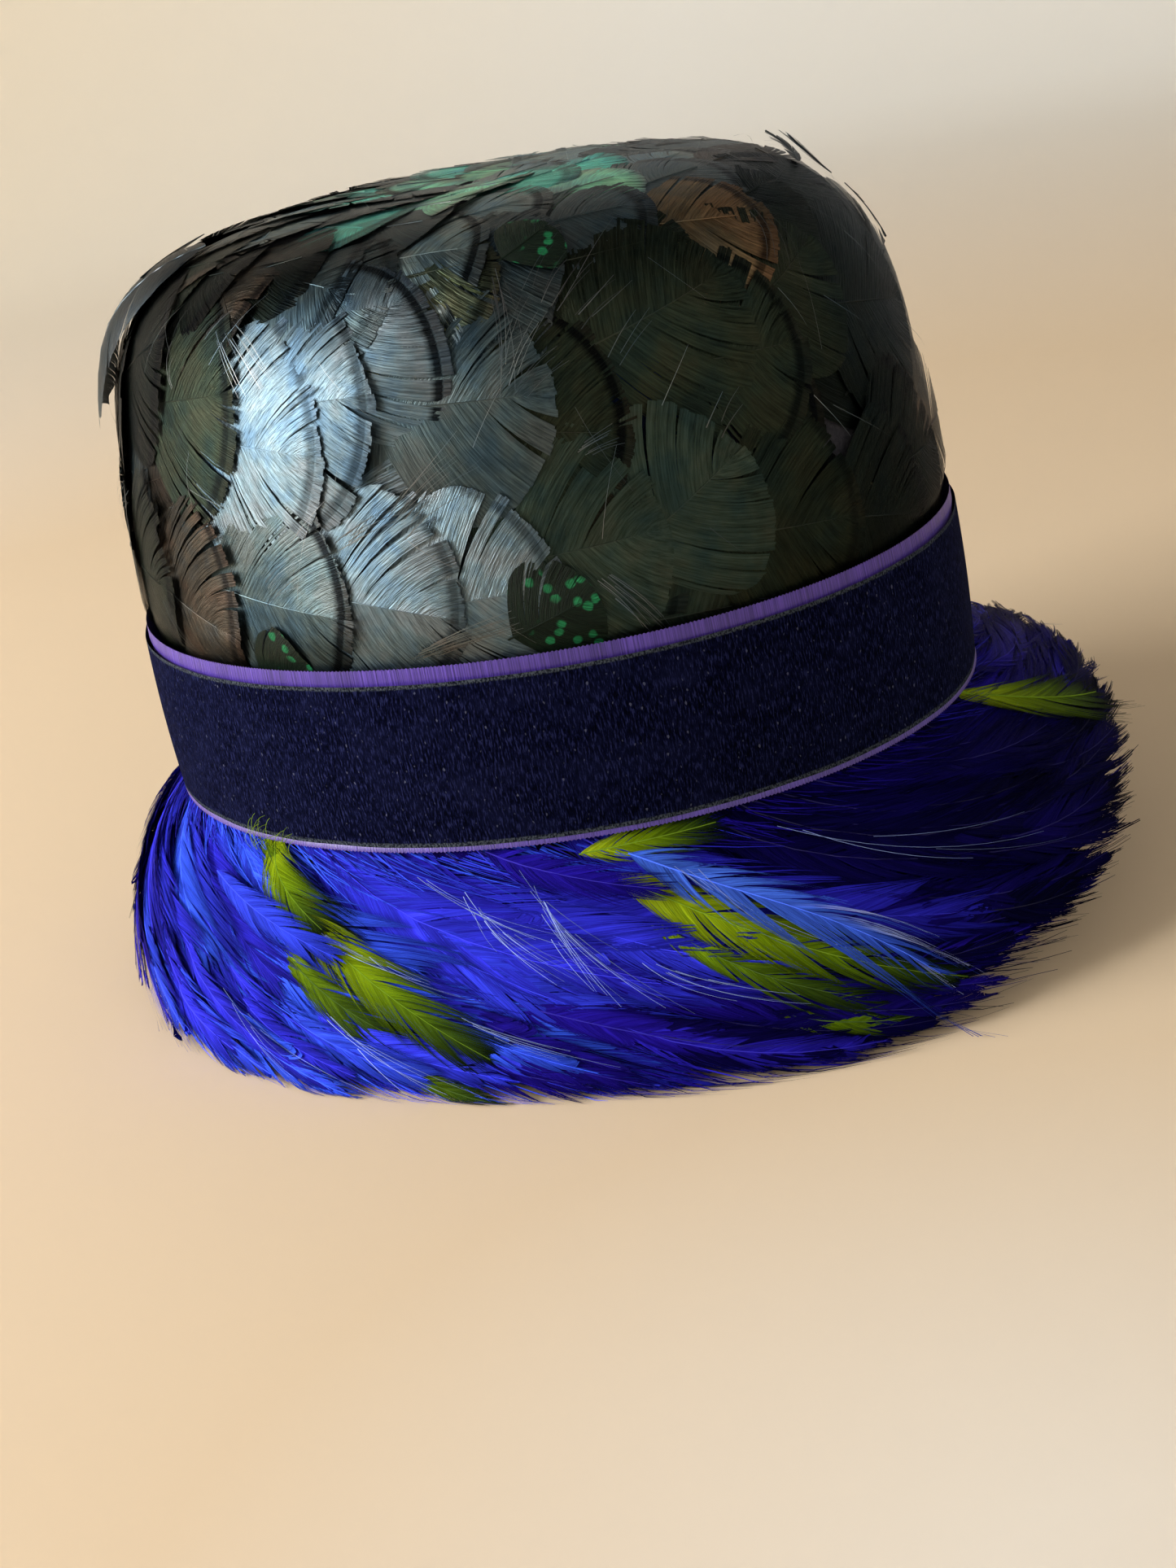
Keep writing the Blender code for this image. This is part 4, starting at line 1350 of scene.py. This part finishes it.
def stage_finish():
    """Warm cream paint, paler on the wall, with a painted pool of light on the floor at the front."""
    finish = Finish("studio_cream", Roughness=0.85, Specular_IOR_Level=0.2)
    axes = finish.add("ShaderNodeSeparateXYZ", Vector=finish.place()).outputs
    plan = finish.add("ShaderNodeCombineXYZ", X=axes["X"], Y=axes["Y"]).outputs[0]
    far = finish.add("ShaderNodeVectorMath", {"operation": "LENGTH"}, i0=plan).outputs["Value"]
    near = finish.add("ShaderNodeVectorMath", {"operation": "DISTANCE"}, i0=plan, i1=PAINTED_LIGHT_POOL)
    wall = finish.ramp(finish.math("MULTIPLY", far, 0.5), ((0.27, 0.0), (0.70, 1.0)))
    # Painted pool of light: the floor is paler round one place in front of the hat
    painted_light_pool = finish.ramp(near.outputs["Value"], ((0.02, 0.55), (0.16, 0.0)))
    side = finish.ramp(axes["Y"], ((0.45, (0.82, 0.81, 0.775)), (1.0, (0.80, 0.72, 0.59))))
    pale = finish.math("MAXIMUM", wall, painted_light_pool)
    finish.set(Base_Color=finish.mix(pale, (0.70, 0.555, 0.39, 1.0), side))
    return finish.material


def add_light(name, angle, distance, height, width, tall, power, colour):
    """Soft light at an angle round the hat, aimed at its middle."""
    data = bpy.data.lights.new(name, "AREA")
    data.shape = "RECTANGLE"
    data.size = width
    data.size_y = tall
    data.energy = power
    data.color = colour
    obj = add_object(name, data)
    turn = math.radians(angle)
    obj.location = (-distance * math.sin(turn), -distance * math.cos(turn), height)
    obj.rotation_euler = (LIGHT_AIM - obj.location).to_track_quat("-Z", "Y").to_euler()
    obj.visible_camera = False


def build_lights():
    """Daylight from the left, a weak fill and a warm surround."""
    for light in LIGHTS:
        add_light(*light)
    world = bpy.data.worlds.new("surround")
    world.use_nodes = True
    background = world.node_tree.nodes["Background"].inputs
    background["Color"].default_value = SURROUND
    background["Strength"].default_value = SURROUND_STRENGTH
    bpy.context.scene.world = world
    bpy.context.scene.view_settings.view_transform = "Standard"


def build_camera():
    """Camera at the photograph's angle: a little above the brim, turned about its own axis."""
    upright = Vector((0, 0, 1))
    elevation, heading = math.radians(CAMERA_ELEVATION), math.radians(CAMERA_HEADING)
    level = math.cos(elevation)
    back = Vector((-level * math.cos(heading), -level * math.sin(heading), math.sin(elevation)))
    right = (-back).cross(upright).normalized()
    eye = CAMERA_PIVOT + back * CAMERA_DISTANCE
    ahead = (CAMERA_PIVOT - right.cross(-back) * AIM_BELOW - eye).normalized()
    right = ahead.cross(upright).normalized()
    up = right.cross(ahead)
    roll = math.radians(CAMERA_ROLL)
    across = right * math.cos(roll) - up * math.sin(roll)
    upward = right * math.sin(roll) + up * math.cos(roll)
    data = bpy.data.cameras.new("camera")
    data.lens = LENS
    data.clip_start = 0.01
    obj = add_object("camera", data)
    turn = Matrix((across, upward, -ahead)).transposed().to_4x4()
    obj.matrix_world = Matrix.Translation(eye) @ turn
    bpy.context.scene.camera = obj


def main():
    """Builds every piece, then the stage, the lights and the camera."""
    feather = crown_finish()
    pieces = []

    for crown in (build_crown(feather), build_spotted(spotted_finish()), build_hairs(feather)):
        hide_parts("crown_feathers")
        pieces.append(crown)

    for plume in (build_shoulder_feather(feather), build_slivers(feather)):
        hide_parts("shoulder_feather")
        pieces.append(plume)

    blue = hackle_finish("blue_hackle", (0.60, 0.42, 0.62), (1.38, 1.60, 1.34), (0.2, 0.3, 1.0, 1.0))
    for seed, row in enumerate(BRIM_ROWS, SEEDS["brim"]):
        plumes = build_brim_row(row, seed, blue)
        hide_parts("brim_feathers")
        pieces.append(plumes)

    for barbs in (build_root_barbs(blue), build_painted_glints(blue), build_edge_barbs(blue)):
        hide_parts("brim_feathers")
        pieces.append(barbs)

    green = hackle_finish("green_hackle", (0.50, 0.60, 0.60), (1.35, 1.30, 1.2), (0.9, 1.0, 0.6, 1.0))
    for number, row in enumerate(GREEN_HACKLES, 1):
        plume = build_green_hackle(number, row, green)
        pieces.append(plume)

    heights = np.linspace(RIBBON_FOOT, RIBBON_HEAD, VELVET_ROWS)
    bulge = 0.0005 * np.sin(np.linspace(0, math.pi, VELVET_ROWS)) - 0.0004
    velvet = build_band("velvet_band", bulge, heights, VELVET_COLUMNS, velvet_finish(), wave=VELVET_WAVE)
    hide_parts("velvet_ribbon")
    pieces.append(velvet)

    heights, outs = zip(*SATIN_SECTION)
    satin = build_band("satin_band", outs, heights, SATIN_COLUMNS, satin_finish(), teeth=SATIN_TEETH)
    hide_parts("satin_ribbon")
    pieces.append(satin)

    felt = build_felt(felt_finish())
    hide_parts("felt_body")
    pieces.append(felt)

    for piece in pieces:
        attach(piece, "root")

    build_stage(stage_finish())
    build_lights()
    build_camera()


main()
